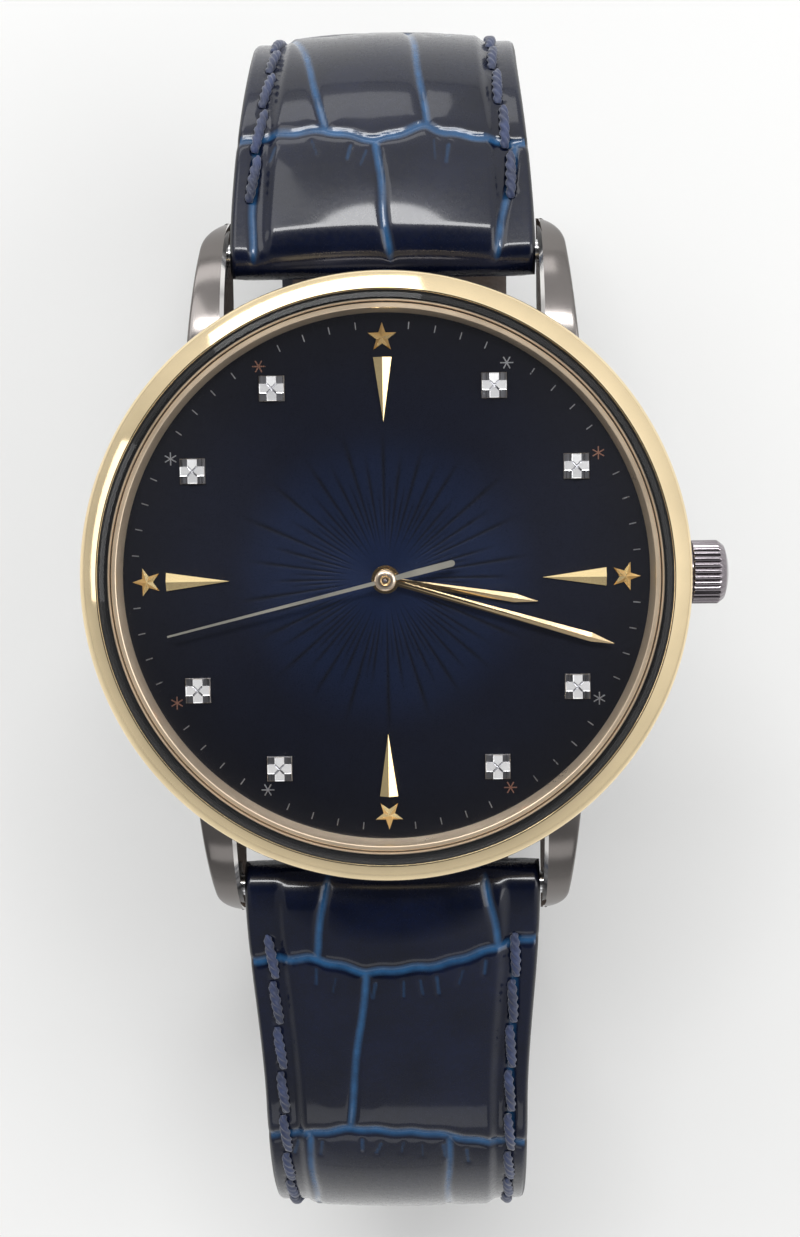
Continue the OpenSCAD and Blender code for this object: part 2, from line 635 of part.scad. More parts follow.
module crown() color([0.25, 0.25, 0.27]) on_stem(crown_x) difference() {
    hollow = crown_tube_l + 0.2;
    dome = bow([crown_r - 0.35, crown_l - 0.3], [0, crown_l], -0.08, 8);
    rotate_extrude() polygon(concat([[crown_r - 0.7, 0], [crown_r - 0.25, 0], [crown_r - 0.25, 0.25],
        [crown_r, 0.35], [crown_r, crown_l - 0.6], [crown_r - 0.3, crown_l - 0.35]], dome,
        [[0, crown_l - 0.5], [stem_r + seat, crown_l - 0.5], [stem_r + seat, hollow], [crown_r - 0.7, hollow]]));
    for (i = [0:crown_flutes - 1]) rotate(i * 360 / crown_flutes) translate([crown_r + 0.06, 0, -through])
        cylinder(r = 0.15, h = crown_l - 0.75 + through, $fn = 32);
}

module crown_gasket() color([0.04, 0.04, 0.04]) on_stem(crown_x + 0.15)
    ring(crown_r - 0.7 - run, tube_r + run, 0.5);

module winding_stem() color([0.66, 0.66, 0.68]) on_stem(stem_in_x)
    cylinder(r = stem_r, h = crown_x + crown_l - 0.55 - stem_in_x, $fn = 48);

winding_l = 1;
winding_m = 0.118;
winding_x = 9.4;
sliding_l = 1.05;
sliding_x = winding_x - sliding_l - run;
sliding_travel = 0.72;

module winding_pinion() color([0.7, 0.7, 0.72]) on_stem(winding_x) difference() {
    gear(z_winding, winding_m, winding_l);
    translate([0, 0, -through]) cylinder(r = stem_r + run, h = 3 * through);
}

module sliding_pinion() color([0.7, 0.7, 0.72]) on_stem(sliding_x) difference() {
    union() {
        gear(14, 0.11, 0.35);
        cylinder(r = 0.62, h = sliding_l - 0.1);
        translate([0, 0, sliding_l - 0.3]) gear(14, 0.11, 0.3);
    }
    translate([0, 0, -through]) cylinder(r = stem_r + seat, h = 4 * through);
}

// Ratchet wheel on the barrel's arbor, and the crown wheel that turns it
ratchet_a = norm(crown_wheel_at - barrel_at);
ratchet_dir = atan2(crown_wheel_at[1] - barrel_at[1], crown_wheel_at[0] - barrel_at[0]);
m_ratchet = 2 * ratchet_a / (z_ratchet + z_crown_wheel);

module crown_wheel() color([0.75, 0.75, 0.76]) translate([crown_wheel_at[0], crown_wheel_at[1], ratchet_z]) {
    gear(z_crown_wheel, m_ratchet, ratchet_t, ratchet_dir + 180 + 180 / z_crown_wheel);
    cylinder(r = 0.8, h = layer[0] - ratchet_z + 0.2);
    translate([0, 0, layer[0] - ratchet_z]) gear(30, 0.118, 0.2);
}

module ratchet_wheel() color([0.78, 0.78, 0.78]) translate([barrel_at[0], barrel_at[1], ratchet_z]) {
    gear(z_ratchet, m_ratchet, ratchet_t, ratchet_dir);
    translate([0, 0, -0.1]) cylinder(r = 0.7, h = 0.2);
    cylinder(r = 0.4, h = plate_z + 0.4 - ratchet_z);
}

module case_back_ring() color([0.62, 0.61, 0.6]) difference() {
    union() {
        cylinder(r1 = flange_r - 0.35, r2 = flange_r, h = 0.35);
        translate([0, 0, 0.35]) cylinder(r = flange_r, h = back_flange_t - 0.35 - seat);
        cylinder(r = neck_r, h = back_flange_t + neck_h);
    }
    translate([0, 0, -through]) cylinder(r = window_r + seat, h = back_glass_t + seat + through);
    cylinder(r = window_r - window_seat_w, h = back_flange_t + neck_h + through);
    for (i = [0:back_notches - 1]) rotate(i * 360 / back_notches + 30) translate([flange_r, 0, -through])
        cylinder(r = 0.9, h = through + 0.5, $fn = 32);
}

module case_back_glass() color([0.8, 0.88, 0.9, 0.35]) cylinder(r = window_r, h = back_glass_t);

module case_back_gasket() color([0.05, 0.05, 0.05]) translate([0, 0, case_z + seat])
    ring(neck_r + back_seal_w - seat, neck_r + seat, 0.5 - 2 * seat);

module movement_holder() color([0.75, 0.72, 0.62]) difference() {
    translate([0, 0, ledge_z + seat]) ring(chamber_r - run, mov_r + run, dial_z - ledge_z - 2 * seat);
    on_stem(mov_r - through) cylinder(r = stem_r + 0.3, h = chamber_r);
    for (i = [0:5]) rotate(i * 60 + 30) translate([(mov_r + chamber_r) / 2, 0, ledge_z - through])
        cylinder(r = 1.2, h = dial_z - ledge_z + through - 0.6);
}

// Bores for the jewels at a list of places
module bores(places, r, h) {
    for (p = places) translate([p[0], p[1], -through]) cylinder(r = r, h = h + 2 * through, $fn = 32);
}

screw_angles = [30, 75, 120, 165, 200];
post_w = 0.8;
post_x = sliding_x - sliding_travel - 0.3 - post_w;
balance_screw_x = sqrt(pow(mov_r - wall_w / 2, 2) - pow(norm(balance_at), 2));

module main_plate() color([0.82, 0.78, 0.68]) difference() {
    union() {
        translate([0, 0, plate_z]) cylinder(r = mov_r, h = plate_t);
        translate([0, 0, bay_z]) ring(mov_r, mov_r - wall_w, bay_h);
        translate([post_x, -0.8, stem_z - 0.7]) cube([post_w, 1.6, plate_z - stem_z + 0.7]);
        translate([motion_at[0], motion_at[1], plate_top]) cylinder(r = 0.25, h = motion_h - 0.1);
        for (s = [-1, 1]) translate(concat(pallet_at + s * 1.8 * [-sin(lever_ang), cos(lever_ang)], layer[2] + 0.2))
            cylinder(r = 0.4, h = plate_z - layer[2] - 0.2, $fn = 32);
    }
    translate([0, 0, plate_z]) bores([third_at, escape_at, balance_at, pallet_at], jewel_r + seat, plate_t);
    translate([0, 0, plate_z]) bores([[0, 0]], center_tube_r + run, plate_t);
    translate([barrel_at[0], barrel_at[1], plate_z - through]) cylinder(r = 0.4 + run, h = through + 0.45);
    on_stem(stem_in_x - through) cylinder(r = stem_r + run, h = mov_r, $fn = 48);
    translate([sliding_x - sliding_travel - 0.15, -1.3, plate_z - through])
        cube([winding_x + winding_l + sliding_travel - sliding_x + 0.3, 2.6, through + 0.5]);
    screw_holes();
}

// Bridge screws along the wall, and the two at the ends of the balance bridge
module at_screws() {
    for (a = screw_angles) rotate(a) translate([mov_r - wall_w / 2, 0, 0]) children();
    rotate(balance_ang + 90) for (s = [-1, 1]) translate([s * balance_screw_x, -norm(balance_at), 0]) children();
}

module screw_holes() {
    translate([0, 0, bridge_z - through]) at_screws() cylinder(r = screw_r + seat, h = bridge_t + through + 1.1, $fn = 24);
}

module train_bridge() color([0.8, 0.79, 0.76]) difference() {
    translate([0, 0, bridge_z]) cylinder(r = mov_r, h = bridge_t);
    rotate(balance_ang + 90) translate([-mov_d, -mov_d, bridge_z - through])
        cube([2 * mov_d, mov_d - norm(balance_at) + 1.4, 2 * through + bridge_t]);
    translate([0, 0, bridge_z]) {
        bores([balance_at], balance_r + 0.4, bridge_t);
        bores([third_at, escape_at], jewel_r + seat, bridge_t);
        bores([[0, 0]], seconds_r + run, bridge_t);
        bores([barrel_at], 0.4 + run, bridge_t);
        bores([crown_wheel_at], 0.8 + run, bridge_t);
    }
    screw_holes();
}

module balance_bridge() color([0.8, 0.79, 0.76]) difference() {
    intersection() {
        translate([0, 0, bridge_z]) cylinder(r = mov_r, h = bridge_t);
        rotate(balance_ang + 90) translate([-mov_d, -norm(balance_at) - 1.3, bridge_z - through])
            cube([2 * mov_d, 2.6, 2 * through + bridge_t]);
    }
    translate([0, 0, bridge_z]) bores([balance_at], jewel_r + seat, bridge_t);
    screw_holes();
}

module pallet_bridge() color([0.8, 0.79, 0.76]) translate(concat(pallet_at, layer[2] + 0.02)) rotate(lever_ang)
    difference() {
        union() {
            translate([-0.45, -1.8, 0]) cube([0.9, 3.6, 0.16]);
            for (s = [-1.8, 1.8]) translate([0, s, 0]) cylinder(r = 0.45, h = 0.16, $fn = 48);
        }
        translate([0, 0, -through]) cylinder(r = arbor_r + run, h = 3 * through, $fn = 32);
    }

auto_feet = [[-7, 0], [-3, -7.4], [-3.6, 7.4]];

module automatic_bridge() color([0.77, 0.77, 0.75]) {
    intersection() {
        translate([0, 0, auto_z]) cylinder(r = auto_r, h = auto_bridge_t);
        union() {
            translate([-auto_r, -auto_r, auto_z]) cube([auto_r + 1, 2 * auto_r, auto_bridge_t]);
            translate([0, 0, auto_z]) cylinder(r = 3, h = auto_bridge_t);
        }
    }
    for (p = auto_feet) translate([p[0], p[1], auto_z + auto_bridge_t - seat])
        cylinder(r = 0.8, h = bridge_z - auto_z - auto_bridge_t, $fn = 48);
}

module rotor_bearing() color([0.7, 0.7, 0.72]) translate([0, 0, rotor_z - 0.2]) {
    cylinder(r = bearing_r + 0.35, h = 0.18);
    cylinder(r = bearing_r, h = auto_z - rotor_z + 0.2 - seat);
}

module rotor() color([0.72, 0.7, 0.66]) difference() {
    union() {
        translate([0, 0, rotor_z]) intersection() {
            cylinder(r = rotor_r, h = rotor_web_t);
            union() {
                translate([-rotor_r, 0, 0]) cube([2 * rotor_r, rotor_r, rotor_web_t]);
                cylinder(r = 2.2, h = rotor_web_t);
            }
        }
        translate([0, 0, rotor_z]) intersection() {
            ring(rotor_r, rotor_r - rotor_rim_w, rotor_rim_h);
            translate([-rotor_r, 0, 0]) cube([2 * rotor_r, rotor_r, rotor_rim_h]);
        }
    }
    translate([0, 0, rotor_z - through]) cylinder(r = bearing_r + run, h = 3 * through);
}

module bridge_screws() color([0.55, 0.56, 0.6]) at_screws() difference() {
    union() {
        translate([0, 0, bridge_z - 0.2]) cylinder(r = screw_head_r, h = 0.2 - seat, $fn = 32);
        translate([0, 0, bridge_z - 0.1]) cylinder(r = screw_r, h = bridge_t + 1, $fn = 32);
    }
    translate([-0.5, -0.05, bridge_z - 0.3]) cube([1, 0.1, 0.18]);
}

module jewel(h) ring(jewel_r, arbor_r + run, h);

module jewels() color([0.7, 0.05, 0.15]) {
    for (p = [third_at, escape_at, balance_at]) translate([p[0], p[1], bridge_z]) jewel(bridge_t);
    for (p = [third_at, escape_at, balance_at, pallet_at]) translate([p[0], p[1], plate_z]) jewel(jewel_t);
}

// Arbor that runs from the bridge's jewel to the plate's jewel
module arbor(at, z0 = bridge_z + 0.05) {
    translate([at[0], at[1], z0]) cylinder(r = arbor_r, h = plate_z + jewel_t - 0.02 - z0, $fn = 24);
}

module barrel() color([0.8, 0.7, 0.45]) translate([barrel_at[0], barrel_at[1], layer[3]]) difference() {
    union() {
        gear(z_barrel, m_barrel, 0.25, barrel_ang + 180);
        cylinder(r = m_barrel * (z_barrel / 2 - 2.5), h = plate_z - layer[3] - loose);
    }
    translate([0, 0, -through]) cylinder(r = 0.4 + run, h = 3 * through);
}

module center_wheel() color([0.85, 0.72, 0.42]) difference() {
    union() {
        translate([0, 0, layer[2]]) wheel(z_center, m_center, wheel_t, third_ang);
        translate([0, 0, layer[2] + wheel_t + run]) gear(z_center_pinion, m_barrel, layer_h + 0.05, barrel_ang + 18);
        translate([0, 0, layer[2]]) cylinder(r = center_tube_r, h = minute_z - 0.35 - layer[2], $fn = 48);
    }
    translate([0, 0, layer[2] - through]) cylinder(r = seconds_r + run, h = 8, $fn = 48);
}

module third_wheel() color([0.85, 0.72, 0.42]) {
    translate([third_at[0], third_at[1], layer[1]]) wheel(z_third, m_third, wheel_t, third_ang + 180);
    translate([third_at[0], third_at[1], layer[2] - 0.05])
        gear(z_third_pinion, m_center, wheel_t + 0.1, third_ang + 180 + 180 / z_third_pinion);
    arbor(third_at);
}

module fourth_wheel() color([0.85, 0.72, 0.42]) {
    translate([0, 0, layer[0]]) wheel(z_fourth, m_fourth, wheel_t, escape_ang);
    translate([0, 0, layer[1] - 0.05]) gear(z_fourth_pinion, m_third, wheel_t + 0.1, third_ang + 180 / z_fourth_pinion);
    translate([0, 0, bridge_z + 0.05]) cylinder(r = seconds_r, h = second_z + second_t + 0.04 - bridge_z - 0.05, $fn = 48);
}

module escape_wheel() color([0.8, 0.78, 0.7]) {
    r = 1.66;
    translate([escape_at[0], escape_at[1], layer[3]]) difference() {
        linear_extrude(wheel_t) polygon([for (i = [0:z_escape - 1], q = [[0, r], [0.12, r], [0.3, r - 0.42], [0.85, r - 0.42]])
            q[1] * [cos((i + q[0]) * 360 / z_escape), sin((i + q[0]) * 360 / z_escape)]]);
        for (i = [0:3]) rotate(i * 90 + 20) translate([0.68, 0, -through]) cylinder(r = 0.3, h = 3 * through, $fn = 32);
    }
    translate([escape_at[0], escape_at[1], layer[0] - 0.03])
        gear(z_escape_pinion, m_fourth, wheel_t + 0.06, escape_ang + 180 + 180 / z_escape_pinion);
    arbor(escape_at);
}

// Pallet fork: two arms towards the escape wheel and a notched lever towards the balance
module pallet_fork() color([0.78, 0.78, 0.76]) {
    reach = pallet_a - 1.66 - 0.06;
    translate(concat(pallet_at, layer[3])) rotate(lever_ang) difference() {
        linear_extrude(wheel_t) union() {
            polygon([[0.3, 0.22], [fork_l, 0.12], [fork_l, -0.12], [0.3, -0.22]]);
            polygon([[fork_l - 0.35, 0.1], [fork_l, 0.3], [fork_l + 0.12, 0.3], [fork_l - 0.08, 0], [fork_l + 0.12, -0.3],
                [fork_l, -0.3], [fork_l - 0.35, -0.1]]);
            polygon([[0.3, 0.3], [0.3, -0.3], [-0.2, -1.25], [-reach + 0.1, -1.25], [-reach + 0.1, -1.05], [-0.35, -0.95],
                [-0.3, 0], [-0.35, 0.95], [-reach + 0.1, 1.05], [-reach + 0.1, 1.25], [-0.2, 1.25]]);
            circle(r = 0.35, $fn = 32);
        }
        translate([0, 0, -through]) cylinder(r = arbor_r - 0.02, h = 3 * through, $fn = 24);
    }
    arbor(pallet_at, layer[2] + 0.04);
}

module balance_wheel() color([0.86, 0.74, 0.45]) {
    translate([balance_at[0], balance_at[1], layer[1]]) {
        ring(balance_r, balance_r - 0.45, 0.3);
        intersection() {
            cylinder(r = balance_r - 0.2, h = 0.15);
            union() for (a = [0, 60, 120]) rotate(a + 10) translate([-balance_r, -0.18, 0]) cube([2 * balance_r, 0.36, 0.15]);
        }
        cylinder(r = 0.45, h = 0.3, $fn = 48);
    }
    arbor(balance_at);
}

// Flat spiral, its inner end near the staff and its outer end under the bridge
module balance_spring() color([0.35, 0.42, 0.6]) {
    r0 = 0.5;
    pitch = (balance_r - 1.6 - r0) / spring_turns;
    steps = 30;
    half_t = 0.04;
    side = [for (i = [0:spring_turns * steps]) let (a = i * 360 / steps) [a, r0 + pitch * a / 360]];
    outline = concat([for (q = side) (q[1] + half_t) * [cos(q[0]), sin(q[0])]],
        [for (i = [len(side) - 1:-1:0]) (side[i][1] - half_t) * [cos(side[i][0]), sin(side[i][0])]]);
    translate([balance_at[0], balance_at[1], layer[0]]) {
        linear_extrude(0.15) polygon(outline);
        translate([r0 + pitch * spring_turns, 0, -0.09]) cylinder(r = 0.18, h = 0.24, $fn = 24);
    }
}

module cannon_pinion() color([0.75, 0.75, 0.76]) difference() {
    union() {
        translate([0, 0, plate_top + run]) gear(z_cannon, m_cannon, 0.2, motion_ang);
        translate([0, 0, plate_top + run]) cylinder(r = cannon_r, h = minute_z + hand_t - plate_top - run, $fn = 64);
    }
    translate([0, 0, plate_top - through]) cylinder(r = center_tube_r + seat / 2, h = 5, $fn = 48);
}

module minute_wheel() color([0.85, 0.72, 0.42]) translate([motion_at[0], motion_at[1], plate_top + 0.07]) difference() {
    union() {
        gear(z_minute, m_cannon, 0.15, motion_ang + 180 + 180 / z_minute);
        gear(z_minute_pinion, m_hour, 0.44, motion_ang + 180);
    }
    translate([0, 0, -through]) cylinder(r = 0.3, h = 3 * through, $fn = 32);
}

module hour_wheel() color([0.85, 0.72, 0.42]) difference() {
    union() {
        translate([0, 0, plate_top + 0.3]) gear(z_hour, m_hour, 0.15, motion_ang + 180 / z_hour);
        translate([0, 0, plate_top + 0.3]) cylinder(r = hour_tube_r, h = hour_z + hand_t - plate_top - 0.3, $fn = 64);
    }
    translate([0, 0, plate_top]) cylinder(r = cannon_r + run, h = 4, $fn = 64);
}

// Spring bar with its two end pins, across the middle of its children's place
module spring_bar(l) {
    rotate([0, 90, 0]) {
        translate([0, 0, -l / 2]) cylinder(r = bar_r, h = l, $fn = 64);
        translate([0, 0, -l / 2 - bar_pin_l]) cylinder(r = bar_pin_d / 2, h = l + 2 * bar_pin_l, $fn = 32);
    }
}

module spring_bar_12() color([0.7, 0.7, 0.72]) translate([0, bar_y, bar_z]) spring_bar(lug_gap - 2 * seat);

module spring_bar_6() color([0.7, 0.7, 0.72]) translate([0, -bar_y, bar_z]) spring_bar(lug_gap - 2 * seat);

// Turns a half of the strap to its own side of the case
module to_side(half) {
    if (half == 12) children();
    else mirror([0, 1, 0]) children();
}

module bar_bore(half, s, r) {
    q = at(half, s)[0];
    translate([-strap_w, q[0], q[1]]) rotate([0, 90, 0]) cylinder(r = r, h = 2 * strap_w, $fn = 64);
}

module tail_holes(half) {
    if (half == 6) for (i = [0:hole_count - 1]) translate(concat(0, at_6(last_hole_s - i * hole_pitch)[0]))
        translate([0, 0, -3]) cylinder(r = hole_d / 2, h = 6, $fn = 32);
}

// Slot that lets the tongue's hub into the buckle's end
module tongue_slot(half) {
    if (half == 12) translate([-tongue_hub_w / 2 - loose, buckle_at[0] - 2, run_12_z - 3])
        cube([tongue_hub_w + 2 * loose, 5, 6]);
}

module cut_strap(half) {
    difference() {
        children();
        bar_bore(half, 0, bar_bore_r);
        if (half == 12) bar_bore(half, strap_12_l, bar_bore_r);
        tail_holes(half);
        tongue_slot(half);
    }
}

// Outer leather: a layer of even thickness under the pressed field, rolled round the bars
module upper(half) to_side(half) cut_strap(half) {
    loft([for (s = rings_of(half)) concat(
        [for (u = across(half, s)) strap_point(half, s, u, top_v(half, s, u))],
        [for (i = [8:-1:0]) let (u = across(half, s)[i]) strap_point(half, s, u, top_v(half, s, u) - upper_t)])]);
    translate([0, bar_y, bar_z]) rotate([0, 90, 0]) cylinder(r = roll_r, h = strap_w, center = true);
    if (half == 12) translate([0, buckle_at[0], run_12_z]) rotate([0, 90, 0])
        cylinder(r = buckle_roll_r, h = strap_end_w, center = true);
}

// Padding between the outer leather and the lining
module filler(half) to_side(half) cut_strap(half)
    loft([for (s = rings_between(half, 3, half_l(half) - (half == 12 ? 5 : tip_l)))
        let (f = field_u(half, s), list = [-f, -f / 2, 0, f / 2, f])
        concat([for (u = list) strap_point(half, s, u, top_v(half, s, u) - upper_t - seat)],
            [for (i = [4:-1:0]) strap_point(half, s, list[i], margin_t(half, s) / 2 - upper_t + seat)])]);

// Lining against the wrist, from one roll to the other or to the tip
module lining(half) to_side(half) cut_strap(half) {
    a = roll_r + 0.3;
    b = strap_12_l - buckle_roll_r - 0.3;
    list = half == 12 ? concat(a, rings_between(half, a + 0.2, b - 0.2), b)
        : concat(a, rings_between(half, a + 0.2, strap_6_l + 1));
    loft([for (s = list) let (low = -margin_t(half, s) / 2, top = margin_t(half, s) / 2 - upper_t - seat)
        [for (q = [[-1, top], [1, top], [1, low], [-1, low]]) strap_point(half, s, q[0], q[1])]]);
}

// One row of thread along each margin
module stitches(half) to_side(half) {
    n = floor((half_l(half) - 17) / stitch_pitch);
    for (i = [0:n], x = [-1, 1]) {
        s = 6 + i * stitch_pitch;
        q = at(half, s);
        v = margin_t(half, s) / 2 + stitch_r + seat;
        translate([x * (half_w(half, s) - margin_w * 0.55), q[0][0] - v * sin(q[1]), q[0][1] + v * cos(q[1])])
            rotate([q[1], 0, 0]) rotate([90, 0, 0]) cylinder(r = stitch_r, h = stitch_l, center = true, $fn = 16);
    }
}

module strap_12_upper() color([0.07, 0.1, 0.2]) upper(12);
module strap_12_filler() color([0.5, 0.45, 0.4]) filler(12);
module strap_12_lining() color([0.1, 0.1, 0.12]) lining(12);
module strap_12_stitches() color([0.1, 0.14, 0.3]) stitches(12);
module strap_6_upper() color([0.07, 0.1, 0.2]) upper(6);
module strap_6_filler() color([0.5, 0.45, 0.4]) filler(6);
module strap_6_lining() color([0.1, 0.1, 0.12]) lining(6);
module strap_6_stitches() color([0.1, 0.14, 0.3]) stitches(6);

// Leather loop round the strap, with room for the tail on its outer side
module keeper(s) {
    in_x = strap_end_w / 2 + 0.15;
    in_top = strap_t / 2 + 0.06;
    in_low = keeper_low - keeper_t;
    translate([0, buckle_at[0] + s + keeper_w / 2, run_12_z]) rotate([90, 0, 0]) linear_extrude(keeper_w) difference() {
        union() {
            translate([-in_x, -in_low - keeper_t]) square([2 * in_x, in_low + in_top + 2 * keeper_t]);
            translate([-in_x - keeper_t, -in_low]) square([2 * in_x + 2 * keeper_t, in_low + in_top]);
            for (x = [-in_x, in_x], z = [-in_low, in_top]) translate([x, z]) circle(r = keeper_t, $fn = 32);
        }
        translate([-in_x, -in_low]) square([2 * in_x, in_low + in_top]);
    }
}

module fixed_keeper() color([0.07, 0.1, 0.2]) keeper(fixed_keeper_s);
module free_keeper() color([0.07, 0.1, 0.2]) keeper(free_keeper_s);

module buckle_frame() color([0.72, 0.72, 0.74]) translate([0, buckle_at[0], run_12_z]) difference() {
    translate([0, 0, -frame_t / 2]) linear_extrude(frame_t) difference() {
        union() {
            translate([-frame_x, -frame_l + 2]) square([2 * frame_x, frame_l - 2 + frame_back - 1]);
            translate([-frame_x + 2, -frame_l]) square([2 * frame_x - 4, frame_l + frame_back - 1]);
            for (x = [-1, 1]) {
                translate([x * (frame_x - 2), -frame_l + 2]) circle(r = 2, $fn = 64);
                translate([x * (frame_x - frame_side_w / 2), frame_back - 1]) circle(r = frame_side_w / 2, $fn = 48);
            }
        }
        translate([-frame_in_w / 2, -frame_l + cross_w]) square([frame_in_w, frame_l]);
    }
    rotate([0, 90, 0]) cylinder(r = bar_pin_d / 2 + run, h = frame_in_w + 2 * lug_hole_l, center = true, $fn = 32);
}

module buckle_spring_bar() color([0.66, 0.66, 0.68]) translate([0, buckle_at[0], run_12_z])
    spring_bar(frame_in_w - 2 * seat);

module buckle_tongue() color([0.74, 0.74, 0.76]) translate([0, buckle_at[0], run_12_z]) difference() {
    union() {
        rotate([0, 90, 0]) cylinder(r = tongue_hub_r, h = tongue_hub_w, center = true, $fn = 64);
        rotate([tongue_tilt, 0, 0]) rotate([90, 0, 0]) {
            cylinder(r = tongue_d / 2, h = frame_l - 0.3, $fn = 48);
            translate([0, 0, frame_l - 0.3]) sphere(r = tongue_d / 2, $fn = 48);
        }
    }
    rotate([0, 90, 0]) cylinder(r = bar_bore_r, h = 2 * tongue_hub_w, center = true, $fn = 64);
}

mid_case();
bezel();
crystal();
crystal_gasket();
rehaut();
dial();
star_markers();
wedge_markers();
square_markers();
hour_hand();
minute_hand();
second_hand();
crown_tube();
crown();
crown_gasket();
winding_stem();
winding_pinion();
sliding_pinion();
crown_wheel();
ratchet_wheel();
case_back_ring();
case_back_glass();
case_back_gasket();
movement_holder();
main_plate();
train_bridge();
balance_bridge();
pallet_bridge();
automatic_bridge();
bridge_screws();
jewels();
barrel();
center_wheel();
third_wheel();
fourth_wheel();
escape_wheel();
pallet_fork();
balance_wheel();
balance_spring();
cannon_pinion();
minute_wheel();
hour_wheel();
rotor();
rotor_bearing();
spring_bar_12();
spring_bar_6();
strap_12_upper();
strap_12_filler();
strap_12_lining();
strap_12_stitches();
strap_6_upper();
strap_6_filler();
strap_6_lining();
strap_6_stitches();
fixed_keeper();
free_keeper();
buckle_frame();
buckle_spring_bar();
buckle_tongue();
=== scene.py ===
import math

import bmesh
import bpy
import numpy as np
from mathutils import Matrix, Vector


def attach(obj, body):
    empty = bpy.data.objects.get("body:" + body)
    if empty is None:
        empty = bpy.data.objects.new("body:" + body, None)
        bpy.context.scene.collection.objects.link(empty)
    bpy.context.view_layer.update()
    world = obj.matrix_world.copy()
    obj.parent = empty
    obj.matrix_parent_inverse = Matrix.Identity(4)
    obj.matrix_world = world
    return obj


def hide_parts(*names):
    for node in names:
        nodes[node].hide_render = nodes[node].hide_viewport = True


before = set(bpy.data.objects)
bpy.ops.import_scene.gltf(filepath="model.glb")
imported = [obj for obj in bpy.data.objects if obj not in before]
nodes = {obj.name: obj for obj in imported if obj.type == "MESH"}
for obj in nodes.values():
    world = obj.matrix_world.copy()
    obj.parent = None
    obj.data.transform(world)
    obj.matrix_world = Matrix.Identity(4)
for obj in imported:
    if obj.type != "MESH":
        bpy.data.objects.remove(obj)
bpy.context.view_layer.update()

MM = 0.001
scene = bpy.context.scene

# Sizes of the part in millimetres
BEZEL_R = 19.25
OPENING_R = 18.3
GASKET_IN_R = 17.85
CRYSTAL_R = 17.83
DIAL_R = 17.25
DIAL_BORE_R = 0.8
CASE_R = 18.9
CASE_Z = 0.9
CASE_TOP = 7.0
COLLAR_TOP = 8.0
DIAL_Z = 6.9
DIAL_TOP = 7.3
SECOND_TOP = 8.59
CRYSTAL_Z = 8.76
BEZEL_TOP = 9.46
CRYSTAL_TOP = 10.61
LUG_X = 10.0
LUG_BEND_Y = 21.1
LUG_END_Y = 23.1
CROWN_X = 19.25
CROWN_Z = 4.8
BAR_Y = 20.8
BAR_Z = 2.5
STRAP_L = {12: 75.0, 6: 118.0}
STRAP_W = 19.6
STRAP_END_W = 18.0
TAPER_L = 16.0
ROLL_R = 1.6
BUCKLE_ROLL_R = 1.3
TIP_L = 9.0
HOLES = [98.0 - 5.5 * i for i in range(6)]
HOLE_R = 0.9
STITCH = 2.75
PITCH = 3.4
LOOP_Z = -27.2
FLOOR_Z = -36.7


# Mesh tools
def finish_mesh(mesh, angle=32.0, recalc=True):
    """Merges double points, turns the faces outwards and keeps only the sharp edges sharp."""
    bm = bmesh.new()
    bm.from_mesh(mesh)
    bmesh.ops.remove_doubles(bm, verts=bm.verts, dist=2e-7)
    bmesh.ops.dissolve_degenerate(bm, edges=bm.edges, dist=1e-8)
    if recalc:
        bmesh.ops.recalc_face_normals(bm, faces=bm.faces)
    limit = math.radians(angle)
    for f in bm.faces:
        f.smooth = True
    for e in bm.edges:
        e.smooth = len(e.link_faces) != 2 or e.calc_face_angle(0.0) < limit
    bm.to_mesh(mesh)
    bm.free()
    mesh.update()


def add_object(name, mesh, body, replaces=()):
    obj = bpy.data.objects.new(name, mesh)
    scene.collection.objects.link(obj)
    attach(obj, body)
    if replaces:
        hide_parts(*replaces)
    return obj


def make_mesh(name, points, faces, materials, which=None):
    """Mesh from points in millimetres. which gives each face's place in materials."""
    mesh = bpy.data.meshes.new(name)
    mesh.from_pydata((np.asarray(points, float) * MM).tolist(), [], [list(map(int, f)) for f in faces])
    for m in materials:
        mesh.materials.append(m)
    if which is not None:
        mesh.polygons.foreach_set("material_index", np.asarray(which, np.int32))
    return mesh


def build(name, points, faces, materials, body, slot, replaces=(), angle=32.0, recalc=True, which=None):
    mesh = make_mesh(name, points, faces, materials, which)
    finish_mesh(mesh, angle, recalc)
    return add_object(name, mesh, body, replaces)


def mark_points(mesh, name, values):
    """Keeps a value for each point, which a material reads."""
    layer = mesh.attributes.new(name, "FLOAT", "POINT")
    layer.data.foreach_set("value", values.astype(np.float32))


def grid_faces(rows, cols, close_rows=False, close_cols=False):
    """Quads of a grid of points that is stored row by row."""
    i = np.arange(rows if close_rows else rows - 1)
    j = np.arange(cols if close_cols else cols - 1)
    a, b = np.meshgrid(i, j, indexing="ij")
    a2, b2 = (a + 1) % rows, (b + 1) % cols
    quads = np.stack([a * cols + b, a * cols + b2, a2 * cols + b2, a2 * cols + b], axis=-1)
    return quads.reshape(-1, 4)


def end_caps(rows, size):
    return [list(range(size))[::-1], list(range((rows - 1) * size, rows * size))]


def tube_faces(rows, size):
    return grid_faces(rows, size, close_cols=True).tolist() + end_caps(rows, size)


def stack(levels):
    """Solid between outlines of the same number of points, from low to high."""
    n = len(levels[0])
    points = [p for level in levels for p in level]
    last = len(points) - n
    faces = [list(range(n))[::-1], list(range(last, last + n))]
    for first in range(0, last, n):
        for i in range(n):
            j = (i + 1) % n
            faces.append([first + i, first + j, first + n + j, first + n + i])
    return points, faces


